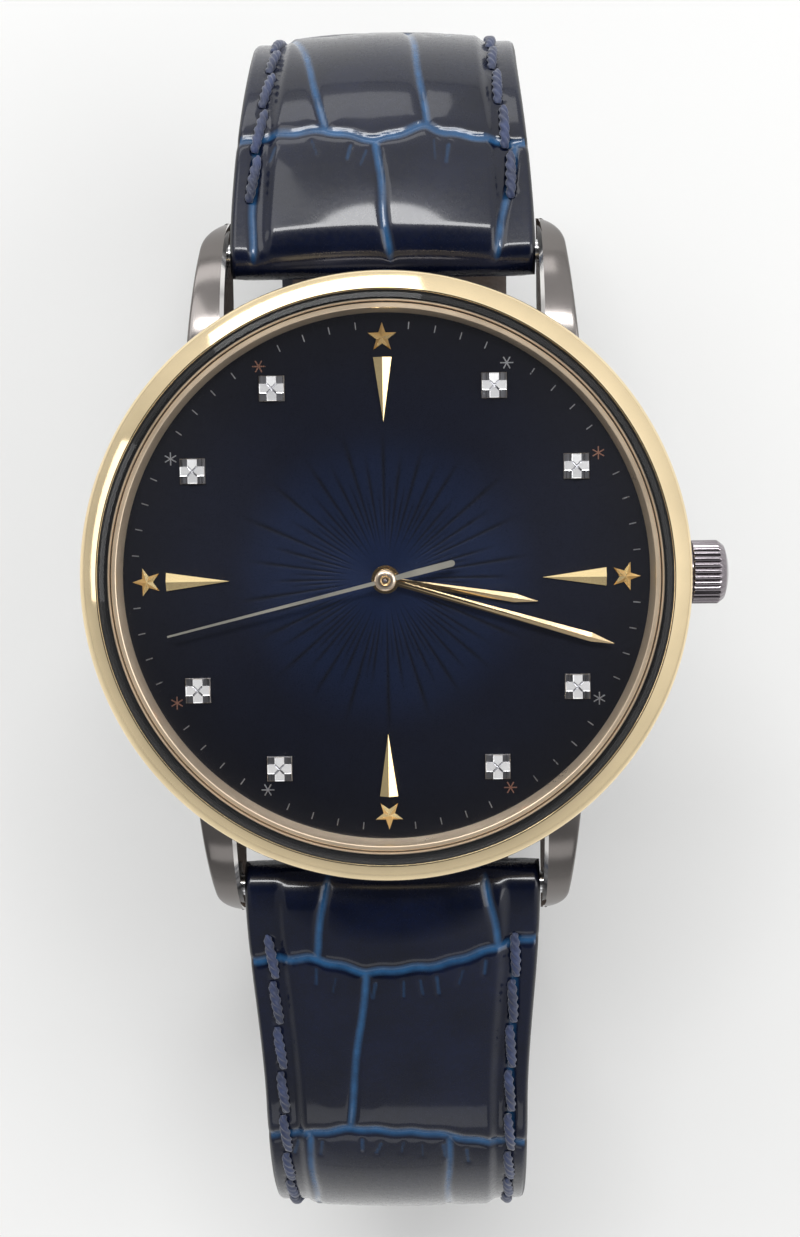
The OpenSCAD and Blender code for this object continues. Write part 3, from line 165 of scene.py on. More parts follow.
def join_parts(parts):
    """One array of points and one list of faces from several (points, faces) pairs."""
    points, faces, first = [], [], 0
    for p, f in parts:
        points.append(np.asarray(p, float))
        faces += [[i + first for i in face] for face in f]
        first += len(p)
    return np.concatenate(points), faces


def fillet(points, radii, n=5):
    """Closed outline with rounded corners. radii gives a radius for each corner, 0 for none."""
    out = []
    pts = [np.array(p, float) for p in points]
    for i, p in enumerate(pts):
        a, b = pts[i - 1], pts[(i + 1) % len(pts)]
        r = radii if np.isscalar(radii) else radii[i]
        if r <= 0:
            out.append(p)
            continue
        da, db = a - p, b - p
        la, lb = np.linalg.norm(da), np.linalg.norm(db)
        da, db = da / la, db / lb
        half = math.acos(max(-1.0, min(1.0, float(da @ db)))) / 2
        cut = min(r / math.tan(half), la * 0.48, lb * 0.48)
        for t in np.linspace(0, 1, n + 1):
            out.append((1 - t) ** 2 * (p + da * cut) + 2 * t * (1 - t) * p + t * t * (p + db * cut))
    return np.array(out)


def arc(cx, cz, r, a0, a1, n):
    a = np.radians(np.linspace(a0, a1, n + 1))
    return [(cx + r * math.cos(t), cz + r * math.sin(t)) for t in a]


def bow(a, b, rise, n):
    """Shallow curve from a to b that rises to the left of its chord."""
    a, b = np.array(a, float), np.array(b, float)
    d = b - a
    side = np.array([-d[1], d[0]]) / np.linalg.norm(d)
    return [tuple(a + d * t + side * rise * 4 * t * (1 - t)) for t in np.linspace(0, 1, n + 1)]


def lathe(name, profile, materials, body="case", segments=360, slot=None, replaces=(), angle=32.0, dark=()):
    """Ring or disc turned about the watch's axis, from a closed outline of (radius, height).

    The outline's sides numbered in dark take the second material."""
    p = np.asarray(profile, float)
    t = np.linspace(0, 2 * math.pi, segments, endpoint=False)
    x = np.cos(t)[:, None] * p[None, :, 0]
    y = np.sin(t)[:, None] * p[None, :, 0]
    z = np.repeat(p[None, :, 1], segments, axis=0)
    points = np.stack([x, y, z], -1).reshape(-1, 3)
    faces = grid_faces(segments, len(p), close_rows=True, close_cols=True)
    which = [int(k % len(p) in dark) for k in range(len(faces))]
    return build(name, points, faces, materials, body, slot, replaces, angle, True, which)


# Material tools
def srgb(r, g, b):
    """Linear colour of an sRGB colour from 0 to 255."""
    levels = [c / 255 for c in (r, g, b)]
    return tuple(c / 12.92 if c <= 0.04045 else ((c + 0.055) / 1.055) ** 2.4 for c in levels)


def darker(color, share):
    return tuple(c * share for c in color)


def put(socket, value):
    """Sets an input to a number, vector or colour, or links an output to it."""
    if isinstance(value, bpy.types.NodeSocket):
        socket.id_data.links.new(value, socket)
    elif socket.type == "RGBA":
        socket.default_value = (*value, 1.0)
    else:
        socket.default_value = value


def set_inputs(node, **inputs):
    """Sets or links a node's inputs by name, where _ stands for a space."""
    for key, value in inputs.items():
        put(node.inputs[key.replace("_", " ")], value)


def add_node(tree, kind, settings=None, **inputs):
    n = tree.nodes.new("ShaderNode" + kind)
    for key, value in (settings or {}).items():
        setattr(n, key, value)
    set_inputs(n, **inputs)
    return n


def new_material(name, color, rough, metal=0.0, **more):
    mat = bpy.data.materials.new(name)
    mat.use_nodes = True
    shader = mat.node_tree.nodes["Principled BSDF"]
    set_inputs(shader, Base_Color=color, Roughness=rough, Metallic=metal, **more)
    return mat, mat.node_tree, shader


def coords(tree, scale=(1, 1, 1), turn=0.0):
    place = add_node(tree, "TexCoord").outputs["Object"]
    turned = (0.0, 0.0, math.radians(turn))
    return add_node(tree, "Mapping", Scale=scale, Rotation=turned, Vector=place).outputs["Vector"]


def noise(tree, vector, scale, detail=3.0, rough=0.55):
    n = add_node(tree, "TexNoise", Scale=scale, Detail=detail, Roughness=rough, Vector=vector)
    return n.outputs["Fac"]


def cells(tree, vector, scale, feature="F1"):
    n = add_node(tree, "TexVoronoi", {"feature": feature}, Scale=scale, Vector=vector)
    return n.outputs["Distance"]


def point_mark(tree, name):
    return add_node(tree, "Attribute", {"attribute_name": name}).outputs["Fac"]


def remap(tree, value, low, high, from_low=0.3, from_high=0.7):
    """Moves values between from_low and from_high to the range from low to high."""
    ends = dict(From_Min=from_low, From_Max=from_high, To_Min=low, To_Max=high)
    return add_node(tree, "MapRange", Value=value, **ends).outputs["Result"]


def mix_color(tree, factor, a, b, kind="MIX"):
    """Mix of two colours. Each may be a colour or an output."""
    n = add_node(tree, "Mix", {"data_type": "RGBA", "blend_type": kind})
    for place, value in ((0, factor), (6, a), (7, b)):
        put(n.inputs[place], value)
    return n.outputs[2]


def math_node(tree, op, a, b):
    n = add_node(tree, "Math", {"operation": op})
    put(n.inputs[0], a)
    put(n.inputs[1], b)
    return n.outputs[0]


def blend(tree, a, share_a, b, share_b):
    """Sum of two outputs, each times its share."""
    parts = [math_node(tree, "MULTIPLY", value, share) for value, share in ((a, share_a), (b, share_b))]
    return math_node(tree, "ADD", *parts)


def vector_node(tree, op, a, b=(0.0, 0.0, 0.0), output="Value"):
    n = add_node(tree, "VectorMath", {"operation": op})
    put(n.inputs[0], a)
    put(n.inputs[1], b)
    return n.outputs[output]


def axis_distance(tree):
    """Distance from the watch's axis."""
    place = add_node(tree, "TexCoord").outputs["Object"]
    return vector_node(tree, "LENGTH", vector_node(tree, "MULTIPLY", place, (1.0, 1.0, 0.0), "Vector"))


def color_ramp(tree, factor, stops, interpolation="LINEAR"):
    """Colour that follows factor through stops of (place, colour)."""
    n = add_node(tree, "ValToRGB", Fac=factor)
    n.color_ramp.interpolation = interpolation
    points = n.color_ramp.elements
    for i in (0, -1):
        points[i].position = stops[i][0]
        points[i].color = (*stops[i][1], 1.0)
    for place, color in stops[1:-1]:
        points.new(place).color = (*color, 1.0)
    return n.outputs["Color"]


def bump(tree, shader, height, distance, strength):
    n = add_node(tree, "Bump", Strength=strength, Distance=distance, Height=height)
    set_inputs(shader, Normal=n.outputs["Normal"])


def polished(name, color, rough=0.08, spread=0.05, wear=0.0, metal=1.0):
    """Polished metal: haze that varies over the surface, and hairline marks."""
    mat, tree, shader = new_material(name, color, rough, metal)
    haze = noise(tree, coords(tree), 260.0, 4.0)
    marks = noise(tree, coords(tree, (1.0, 0.12, 1.0)), 9000.0, 2.0)
    tint = mix_color(tree, remap(tree, haze, 0.0, 1.0), darker(color, 0.9), color)
    both = blend(tree, haze, 0.75, marks, 0.25)
    set_inputs(shader, Base_Color=tint, Roughness=remap(tree, both, rough, rough + spread))
    bump(tree, shader, marks, 0.0000008 + wear * 0.000001, 0.6)
    return mat


def brushed(name, color, direction="x", rough=0.22, depth=0.000002, grain=5200.0):
    """Metal with a straight grain along x or y, or a round grain about the watch's axis."""
    mat, tree, shader = new_material(name, color, rough, 1.0)
    if direction == "round":
        rings = {"noise_dimensions": "1D"}
        fine = add_node(tree, "TexNoise", rings, Scale=grain * 1.4, Detail=4.0, W=axis_distance(tree))
        fine = fine.outputs["Fac"]
    else:
        stretch = (0.02, 1.0, 1.0) if direction == "x" else (1.0, 0.02, 1.0)
        fine = noise(tree, coords(tree, stretch), grain, 4.0)
    shade = blend(tree, fine, 0.6, noise(tree, coords(tree), 320.0), 0.4)
    tint = mix_color(tree, remap(tree, shade, 0.0, 1.0), darker(color, 0.8), color)
    set_inputs(shader, Base_Color=tint, Roughness=remap(tree, fine, rough * 0.8, rough * 1.35))
    bump(tree, shader, fine, depth, 0.8)
    return mat


def striped(name, color, pitch_mm=1.1, angle=20.0, rough=0.2):
    """Plate with the broad wavy stripes of a finished movement, and a fine grain in them."""
    mat, tree, shader = new_material(name, color, rough, 1.0)
    scale = math.pi / 20 / (pitch_mm * MM)
    profile = {"wave_profile": "SAW"}
    vector = coords(tree, turn=angle)
    wave = add_node(tree, "TexWave", profile, Scale=scale, Distortion=0.4, Detail=1.0, Vector=vector)
    fine = noise(tree, coords(tree, (1.0, 0.3, 1.0)), 9000.0, 2.0)
    shade = blend(tree, wave.outputs["Fac"], 0.8, fine, 0.2)
    tint = mix_color(tree, remap(tree, shade, 0.0, 1.0, 0.1, 0.9), darker(color, 0.72), color)
    set_inputs(shader, Base_Color=tint, Roughness=remap(tree, shade, rough * 0.7, rough * 1.6, 0.0, 1.0))
    bump(tree, shader, shade, 0.000012, 0.7)
    return mat


def clear_glass(name, shine=0.04, tint=(1.0, 1.0, 1.0)):
    """Glass seen as a thin clear body, with a gloss that grows towards grazing angles."""
    mat, tree, gloss = new_material(name, (1.0, 1.0, 1.0), 0.01, 1.0)
    smear = noise(tree, coords(tree), 160.0)
    set_inputs(gloss, Roughness=remap(tree, smear, 0.0, 0.035, 0.45, 0.75))
    facing = add_node(tree, "LayerWeight", Blend=0.5).outputs["Facing"]
    edge = math_node(tree, "POWER", facing, 5.0)
    gloss_part = math_node(tree, "ADD", math_node(tree, "MULTIPLY", edge, 1 - shine), shine)
    lit = math_node(tree, "SUBTRACT", 1.0, add_node(tree, "LightPath").outputs["Is Shadow Ray"])
    mixer = add_node(tree, "MixShader")
    put(mixer.inputs[0], math_node(tree, "MULTIPLY", gloss_part, lit))
    put(mixer.inputs[1], add_node(tree, "BsdfTransparent", Color=tint).outputs[0])
    put(mixer.inputs[2], gloss.outputs[0])
    put(tree.nodes["Material Output"].inputs["Surface"], mixer.outputs[0])
    return mat


def plain_soft(name, color, rough, grain=3000.0, depth=0.00001, vary=0.25, **more):
    """Rubber, plastic, paint or thread with a fine uneven skin."""
    mat, tree, shader = new_material(name, color, rough, **more)
    fine = noise(tree, coords(tree), grain)
    broad = noise(tree, coords(tree), grain * 0.06)
    tint = mix_color(tree, remap(tree, broad, 0.0, 1.0), darker(color, 1 - vary), color)
    set_inputs(shader, Base_Color=tint, Roughness=remap(tree, broad, rough * 0.85, min(1.0, rough * 1.2)))
    bump(tree, shader, fine, depth, 0.7)
    return mat


def gem(name, color, dark, bright):
    """Polished stone with a cloudy colour."""
    mat, tree, shader = new_material(name, color, 0.08, Coat_Weight=0.8)
    cloud = remap(tree, noise(tree, coords(tree), 2400.0), 0.0, 1.0)
    set_inputs(shader, Base_Color=mix_color(tree, cloud, dark, bright))
    return mat


# Materials
bezel_gold = polished("bezel_gold", (0.96, 0.78, 0.49), 0.05, 0.05, 0.3)
rehaut_gold = polished("rehaut_gold", (0.86, 0.69, 0.50), 0.26, 0.1, 0.0, 0.72)
marker_gold = polished("marker_gold", (0.97, 0.76, 0.40), 0.07, 0.05)
hand_gold = polished("hand_gold", (0.93, 0.71, 0.42), 0.1, 0.06)
second_gold = polished("second_gold", (0.60, 0.58, 0.50), 0.28, 0.1, 0.0, 0.84)
cap_rose = polished("cap_rose", (0.80, 0.66, 0.52), 0.16, 0.06)
marker_silver = polished("marker_silver", (0.93, 0.93, 0.94), 0.2, 0.08, 0.0, 0.4)
marker_plate = brushed("marker_plate", (0.30, 0.30, 0.32), "y", 0.28, 0.000002, 9000.0)
tick_silver = polished("tick_silver", (0.62, 0.63, 0.66), 0.25, 0.08)
tick_copper = polished("tick_copper", (0.62, 0.33, 0.24), 0.25, 0.08)
case_steel = polished("case_steel", (0.27, 0.25, 0.24), 0.1, 0.08, 0.6)
# Painted reflection: the lug steel's dark tone stands in for the dark surroundings that the polished lugs
# reflect; the bare steel is brighter
lug_steel = polished("lug_steel", (0.19, 0.175, 0.167), 0.14, 0.08, 0.8)
edge_steel = polished("edge_steel", (0.82, 0.80, 0.78), 0.06, 0.05)
crown_steel = polished("crown_steel", (0.30, 0.27, 0.29), 0.12, 0.08)
steel = polished("steel", (0.66, 0.66, 0.67), 0.12, 0.08)
wheel_steel = brushed("wheel_steel", (0.7, 0.7, 0.71), "round", 0.2)
back_steel = brushed("back_steel", (0.62, 0.615, 0.61), "round", 0.2)
buckle_steel = polished("buckle_steel", (0.58, 0.575, 0.57), 0.1, 0.08, 0.6)
plate_nickel = striped("plate_nickel", (0.70, 0.69, 0.66))
base_nickel = brushed("base_nickel", (0.60, 0.59, 0.56), "x", 0.3, 0.000003, 3200.0)
rotor_nickel = striped("rotor_nickel", (0.74, 0.72, 0.68), 1.6, -35.0, 0.18)
train_brass = brushed("train_brass", (0.78, 0.58, 0.28), "round", 0.24)
blued = polished("blued_steel", (0.03, 0.07, 0.32), 0.14, 0.08)
ruby = gem("ruby", (0.42, 0.008, 0.05), (0.3, 0.004, 0.03), (0.5, 0.012, 0.07))
rubber = plain_soft("seal_rubber", (0.004, 0.004, 0.005), 0.5)
holder = plain_soft("holder_plastic", (0.62, 0.61, 0.58), 0.45)
crystal_glass = clear_glass("crystal_glass", 0.035)
back_glass = clear_glass("back_glass", 0.04, (0.97, 0.99, 0.98))

# Camera, fitted to the circles and the lugs in the photograph
PHOTO_H_PX = 1237
FOCAL_PX = 1849.0
SENSOR = 24.0
TURN = (5.69, -1.34, 0.72)
AIM = Vector((0.0, 0.0, 8.2))
OFFSET = Vector((0.92, -2.41, 116.2))
rx, ry, rz = (Matrix.Rotation(math.radians(a), 3, axis) for a, axis in zip(TURN, "XYZ"))
turned = (rz @ ry @ rx).transposed()
camera_data = bpy.data.cameras.new("camera")
camera = bpy.data.objects.new("camera", camera_data)
scene.collection.objects.link(camera)
camera.matrix_world = Matrix.Translation((turned @ OFFSET + AIM) * MM) @ turned.to_4x4()
camera_data.sensor_fit = "AUTO"
camera_data.sensor_width = SENSOR
camera_data.lens = SENSOR * FOCAL_PX / PHOTO_H_PX
camera_data.clip_start = 0.004
camera_data.clip_end = 20.0
scene.camera = camera

# Case, lugs and rings
wall = bow((17.6, CASE_Z), (18.8, CASE_TOP), -0.75, 20)
band = [(15.3, CASE_Z + 0.02), (17.35, CASE_Z)] + wall[1:-1]
band += [(18.72, CASE_TOP - 0.12), (18.6, CASE_TOP), (17.3, CASE_TOP), (17.3, 2.0), (15.3, 2.0)]
lathe("case_band", band, [case_steel], slot="case_steel", replaces=("mid_case",))
collar = fillet([(17.3, 6.8), (18.2, 6.8), (18.2, COLLAR_TOP), (17.3, COLLAR_TOP)], 0.05)
lathe("case_collar", collar, [case_steel], slot="case_steel")


def lug_outer(y):
    """Outer edge of a lug in plan: nearly straight, with a round corner at its tip."""
    if y <= LUG_BEND_Y:
        return float(np.interp(y, [13.9, LUG_BEND_Y], [LUG_X + 2.45, LUG_X + 1.75]))
    a, b, c = np.array([11.75, LUG_BEND_Y]), np.array([11.65, 22.4]), np.array([10.35, LUG_END_Y])
    t = np.linspace(0, 1, 80)[:, None]
    curve = (1 - t) ** 2 * a + 2 * t * (1 - t) * b + t * t * c
    return float(np.interp(y, curve[:, 1], curve[:, 0]))


def lug_top(y):
    return -2.4 + math.sqrt(max(0.0, 9.3**2 - max(0.0, y - 14.2) ** 2))


def make_lug(name, sx, sy):
    """A lug with a slightly crowned top, a crisp outer edge and a bright chamfer along its inner edge."""
    tip = LUG_BEND_Y + 2.0 * np.sin(np.linspace(0.04, 1, 26) * math.pi / 2)
    chamfer = 0.24
    round_r = 0.16
    quarter = np.linspace(0, math.pi / 2, 7)[1:]
    rings = []
    for y in np.concatenate([np.linspace(13.2, LUG_BEND_Y, 44), tip]):
        outer = lug_outer(y)
        width = outer - LUG_X
        low = CASE_Z if y < 16.4 else float(np.interp(y, [16.4, 17.9], [CASE_Z, 0.3]))
        top = lug_top(y)
        cut = min(chamfer, width * 0.4)
        face = np.linspace(cut, width - round_r, 12)
        x = np.concatenate([[0.0, cut * 0.5], face, width - round_r + round_r * np.sin(quarter)])
        fall = 0.10 * np.clip((x - 0.4 * width) / (0.6 * width), 0, 1) ** 2
        fall[:2] = (cut, cut * 0.5)
        fall[-6:] += round_r * (1 - np.cos(quarter))
        fall = np.minimum(fall, max(top - low, 0.05) * 0.9)
        upper = [(LUG_X + p, y, top - q) for p, q in zip(x, fall)]
        foot = low + 0.1
        side = [(outer, y, foot + (upper[-1][2] - foot) * k) for k in (0.66, 0.33, 0.0)]
        rings += upper + side
        rings += [(outer - 0.1, y, low), (LUG_X + 0.06, y, low), (LUG_X, y, low + 0.06)]
    size = len(upper) + 6
    faces = tube_faces(len(rings) // size, size)
    which = [int(k % size < 2) for k in range(len(faces) - 2)] + [0, 0]
    points = np.array(rings) * np.array([sx, sy, 1.0])
    build(name, points, faces, [lug_steel, edge_steel], "case", "case_steel", angle=28.0, which=which)


for side_name, sx in (("left", -1), ("right", 1)):
    make_lug("lug_12_" + side_name, sx, 1)
    make_lug("lug_6_" + side_name, sx, -1)

LIP_R = OPENING_R - 0.33
edge_arc = arc(BEZEL_R - 0.5, CASE_TOP + 1.3, 0.5, -50, 50, 20)
slope = bow(edge_arc[-1], (LIP_R + 0.13, BEZEL_TOP - 0.02), -0.02, 12)
bezel = [(OPENING_R, CASE_TOP), (CASE_R - 0.15, CASE_TOP)] + edge_arc + slope[1:]
bezel += [(LIP_R + 0.1, BEZEL_TOP), (LIP_R + 0.04, BEZEL_TOP), (LIP_R, BEZEL_TOP - 0.05)]
bezel += [(LIP_R, BEZEL_TOP - 0.2), (OPENING_R, BEZEL_TOP - 0.2)]
lathe("bezel_ring", bezel, [bezel_gold], segments=480, slot="bezel_gold", replaces=("bezel",), angle=14.0)

seal = [(GASKET_IN_R, 8.05), (18.28, 8.05), (18.28, 9.2), (GASKET_IN_R, 9.2)]
seal = fillet(seal, [0, 0, 0.08, 0.08])
lathe("crystal_seal", seal, [rubber], slot="seal_rubber", replaces=("crystal_gasket",))

# The flange rises to a rim, drops into a groove, and has a second rim with a black band outside it. The
# groove's floor is black rubber as painted shade
flange = [(16.7, 7.32), (16.71, 7.45), (16.9, 8.56), (16.93, 8.63), (16.98, 8.66), (17.19, 8.66)]
flange += [(17.23, 8.63), (17.25, 8.4), (17.31, 8.4), (17.33, 8.66), (17.37, 8.72), (17.42, 8.72)]
flange += [(17.46, 8.68), (17.48, 8.45), (17.62, 8.4), (17.84, 8.4)]
flange += [(17.84, 8.05), (17.2, 8.05), (17.2, 7.32)]
finish = [rehaut_gold, rubber]
# Side 7 is the groove's floor, black as painted shade; sides 13 to 16 are the black band
black = (7, 13, 14, 15, 16)
lathe("rehaut_ring", flange, finish, "case", 480, "flange_gold", ("rehaut",), 20.0, black)


def cap_curve(radius, top, drop, count):
    """Dome of the height drop over the radius, as (radius, height) from its middle to its edge."""
    ball = (radius**2 + drop**2) / (2 * drop)
    return [(r, top - (ball - math.sqrt(ball**2 - r * r))) for r in np.linspace(0, radius, count)]


# Domed crystal with a bevelled rim and a flatter inside
edge_r = CRYSTAL_R - 0.02
edge_top = 9.76
in_top = CRYSTAL_TOP - 0.95
crystal = [(edge_r, CRYSTAL_Z + 0.02), (edge_r, edge_top - 0.22)]
crystal += cap_curve(edge_r - 0.32, CRYSTAL_TOP, CRYSTAL_TOP - edge_top, 40)[::-1]
crystal += cap_curve(17.2, in_top, in_top - CRYSTAL_Z, 40)
lathe("crystal_dome", crystal, [crystal_glass], "case", 256, "sapphire", ("crystal",), 25)

# Dial
rng = np.random.default_rng(11)


def dial_relief(r, t):
    """Depth of the pressed rays, from 0 to 1, at radius r and angle t, both arrays."""
    out = np.zeros_like(r)
    count = 88
    ends = (9.4, 5.6, 7.6, 6.2)
    for k in range(count):
        centre = 2 * math.pi * (k + 0.12 * rng.uniform(-1, 1)) / count
        start = rng.uniform(2.2, 2.9) if k % 2 else rng.uniform(1.5, 2.2)
        end = ends[k % 4] + rng.uniform(-0.7, 0.7)
        off = np.abs((t - centre + math.pi) % (2 * math.pi) - math.pi) * r
        wide = np.maximum(0.035 + 0.017 * (r - start), 0.03)
        along = np.clip((r - start) / 1.6, 0, 1) * np.clip((end - r) / 1.8, 0, 1)
        out = np.maximum(out, along * np.exp(-((off / wide) ** 2)))
    return out


def dial_material():
    """Blue lacquer over a metal with a round grain, darker outwards. Its lighter blue middle is a painted
    sheen, and the rays are darkened as painted shade in their pressed grooves.
    """
    lacquer = dict(Coat_Weight=1.0, Coat_Roughness=0.03, Coat_IOR=1.5, Anisotropic=0.7)
    mat, tree, shader = new_material("dial_blue", srgb(12, 16, 36), 0.3, 0.6, **lacquer)
    grain = add_node(tree, "Tangent", {"direction_type": "RADIAL", "axis": "Z"})
    # Painted sheen: the lighter blue in the middle stands in for the sheen of the grain, and it fades to
    # blue-black at the edge
    stops = [(0.0, (0.010, 0.025, 0.085)), (0.34, (0.008, 0.019, 0.062))]
    stops += [(0.62, (0.005, 0.008, 0.024)), (1.0, (0.0035, 0.0045, 0.012))]
    outwards = remap(tree, axis_distance(tree), 0.0, 1.0, 0.0005, 0.0168)
    color = color_ramp(tree, outwards, stops, "EASE")
    color = mix_color(tree, 0.35, color, noise(tree, coords(tree), 420.0, 4.0), "MULTIPLY")
    # Painted shade: the pressed rays are darkened towards near black, as shade in their grooves
    pressed = remap(tree, point_mark(tree, "ray_shade"), 0.0, 0.8, 0.0, 1.0)
    color = mix_color(tree, pressed, color, (0.002, 0.003, 0.007))
    flake = noise(tree, coords(tree), 26000.0, 2.0)
    set_inputs(shader, Base_Color=color, Roughness=remap(tree, flake, 0.24, 0.4), Tangent=grain.outputs[0])
    bump(tree, shader, flake, 0.0000012, 0.5)
    return mat


def make_dial():
    """Disc with a bore, and with its rays pressed into the top."""
    radii = np.concatenate([np.linspace(DIAL_BORE_R, 11.2, 84), np.linspace(11.6, DIAL_R, 12)])
    count = 1800
    angles = np.linspace(0, 2 * math.pi, count, endpoint=False)
    r, t = np.meshgrid(radii, angles, indexing="ij")
    pressed = dial_relief(r, t)
    low = np.stack(np.meshgrid([DIAL_R, DIAL_BORE_R], angles, indexing="ij"), -1)
    r = np.concatenate([r, low[..., 0]])
    t = np.concatenate([t, low[..., 1]])
    z = np.concatenate([DIAL_TOP - 0.012 * pressed, np.full((2, count), DIAL_Z)])
    points = np.stack([r * np.sin(t), r * np.cos(t), z], -1).reshape(-1, 3)
    faces = grid_faces(len(r), count, close_rows=True, close_cols=True)
    mesh = make_mesh("dial_disc", points, faces, [dial_material()])
    # The depth of the rays is kept for the material, which paints shade into them
    mark_points(mesh, "ray_shade", np.concatenate([pressed.ravel(), np.zeros(2 * count)]))
    finish_mesh(mesh, 40.0)
    add_object("dial_disc", mesh, "case", ("dial",))


make_dial()


def clock(r, angle):
    """Place on the dial at an angle in degrees from 12."""
    a = math.radians(angle)
    return r * math.sin(a), r * math.cos(a)


def bar_part(r, angle, turn, length, width, rise):
    """Thin bar on the dial at clock(r, angle), its length turned from 12."""
    a = math.radians(turn)
    along = np.array([math.sin(a), math.cos(a)])
    over = np.array([math.cos(a), -math.sin(a)])
    levels = []
    for height, k in ((-0.02, 1.0), (rise - 0.004, 1.0), (rise, 0.86)):
        half_l, half_w = length / 2 - (1 - k) * width / 2, width / 2 * k
        corners = ((-1, -1), (-1, 1), (1, 1), (1, -1))
        level = [np.array(clock(r, angle)) + along * u * half_l + over * v * half_w for u, v in corners]
        levels.append([(x, y, DIAL_TOP + height) for x, y in level])
    return stack(levels)


ticks = [bar_part(15.95, k * 6, k * 6, 0.45, 0.065, 0.016) for k in range(60) if k % 5]
build("minute_ticks", *join_parts(ticks), [tick_silver], "case", "silver")

asterisks = (
    ("asterisks_silver", (1, 4, 7, 10), tick_silver, "silver"),
    ("asterisks_copper", (2, 5, 8, 11), tick_copper, "gold"),
)
for name, hours, metal, slot in asterisks:
    rays = []
    for hour in hours:
        for turn in (0, 60, 120):
            rays.append(bar_part(15.55, hour * 30, hour * 30 + turn, 0.82, 0.075, 0.018 + turn * 0.00002))
    build(name, *join_parts(rays), [metal], "case", slot)


def square_part(cx, cy):
    """Applied square: a dark plate with a rim, and a bright cross whose arms are bevelled, slope down
    outwards and are mitred.
    """
    plate, edge, top = DIAL_TOP + 0.2, DIAL_TOP + 0.33, DIAL_TOP + 0.38
    h, w = 0.8, 0.3
    corners = [(-h, -h), (h, -h), (h, h), (-h, h)]
    sizes = ((DIAL_TOP + 0.02, 1.0), (plate - 0.05, 1.0), (plate, 0.94))
    points, faces = stack([[(cx + x * k, cy + y * k, z) for x, y in corners] for z, k in sizes])
    parts = [(points, faces, [0] * len(faces))]
    arm = [(0.0, 0.0), (w, w), (w, h - 0.03), (-w, h - 0.03), (-w, w)]
    in_w, in_y = w - 0.05, w + 0.04
    face = [(0.0, 0.09), (in_w, in_y), (in_w, h - 0.08), (-in_w, h - 0.08), (-in_w, in_y)]
    levels = [[(x, y, z) for x, y in arm] for z in (plate - 0.02, edge)]
    levels.append([(x, y, top - 0.12 * y) for x, y in face])
    for c, s in ((1, 0), (0, 1), (-1, 0), (0, -1)):
        turned = [[(cx + x * c - y * s, cy + x * s + y * c, z) for x, y, z in level] for level in levels]
        points, faces = stack(turned)
        parts.append((points, faces[1:], [1] + [0, 1, 1, 1, 0] * 2))
    return parts


squares = []
for hour in (1, 2, 4, 5, 7, 8, 10, 11):
    squares += square_part(*clock(13.95, hour * 30))
points, faces = join_parts([part[:2] for part in squares])
which = [m for part in squares for m in part[2]]
finish = [marker_plate, marker_silver]
build("square_blocks", points, faces, finish, "case", "silver", ("square_markers",), 12.0, False, which)

# Cap of the seconds hand with its ring and pin, as (radius, height over the hand)
cap = [(0, -0.02), (0.66, -0.02), (0.67, 0.03), (0.62, 0.09)]
cap += [(0.5, 0.13), (0.33, 0.15), (0.3, 0.12), (0, 0.12)]
ring = [(0.19, 0.1), (0.3, 0.1), (0.3, 0.15), (0.25, 0.19), (0.2, 0.16)]
pin = [(0, 0), (0.1, 0), (0.1, 0.17), (0.06, 0.2), (0, 0.2)]
caps = (
    ("seconds_cap", cap, cap_rose, 96, 40),
    ("seconds_cap_ring", ring, hand_gold, 64, 60),
    ("seconds_pin", pin, crown_steel, 48, 50),
)
for name, outline, metal, segments, angle in caps:
    outline = [(r, SECOND_TOP + h) for r, h in outline]
    lathe(name, outline, [metal], "fourth_wheel", segments, "hand_gold", angle=angle)


def make_crown():
    """Crown with round ridges, a turned chamfer and a domed end. It is hollow over its tube."""
    ridges, per_ridge = 30, 12
    count = ridges * per_ridge
    # Points as (length, radius, depth of the ridges)
    outline = [(l, r, 0.0) for l, r in bow((2.4, 1.7), (2.7, 0.0), 0.08, 12)[::-1]]
    outline += [(2.35, 1.76, 0.0), (2.04, 2.0, 0.25), (1.96, 2.05, 1.0), (1.9, 2.05, 1.0)]
    outline += [(0.42, 2.05, 1.0), (0.36, 2.04, 0.9), (0.3, 1.92, 0.3), (0.27, 1.8, 0.0), (0.02, 1.8, 0.0)]
    outline += [(0.0, 1.78, 0.0), (0.0, 1.36, 0.0), (2.1, 1.36, 0.0), (2.1, 0.0, 0.0)]
    phi = 2 * math.pi * np.arange(count) / count
    crest = 1 - np.abs(np.cos(ridges * phi / 2))
    rows = []
    for l, r, depth in outline:
        r = r - 0.15 * depth * crest
        rows.append(np.stack([np.full(count, CROWN_X + l), r * np.cos(phi), CROWN_Z + r * np.sin(phi)], -1))
    points = np.concatenate(rows)
    faces = grid_faces(len(outline), count, close_cols=True)
    build("crown_knob", points, faces, [crown_steel], "crown", "crown_steel", ("crown",), 34.0)


make_crown()


# Strap
def smooth(t):
    c = np.clip(t, 0, 1)
    return c * c * (3 - 2 * c)


# Each half leaves its bar at an angle and follows stretches of (length, degrees per mm). It curls under the
# head in two turns and then lies flat. The second turn's radius sets how far under its bar it lies.
RAD = 180 / math.pi


def turn_piece(angle, r):
    return [angle * r / RAD, -RAD / r]


def cos_deg(angle):
    return math.cos(math.radians(angle))


FLAT_DROP = 29.7
CURL_12 = FLAT_DROP - 5 * math.sin(math.radians(15)) - 13.5 * cos_deg(15)
CURL_6 = FLAT_DROP + 8.0 - 15.5 * RAD / 10 * (cos_deg(4) - cos_deg(14)) - 15 * cos_deg(14)
PATHS = {
    12: ([[5, 0], turn_piece(75, 13.5), turn_piece(90, CURL_12), [200, 0]], -15.0),
    6: ([[15.5, -10 / 15.5], turn_piece(76, 15), turn_piece(90, CURL_6), [200, 0]], -4.0),
}


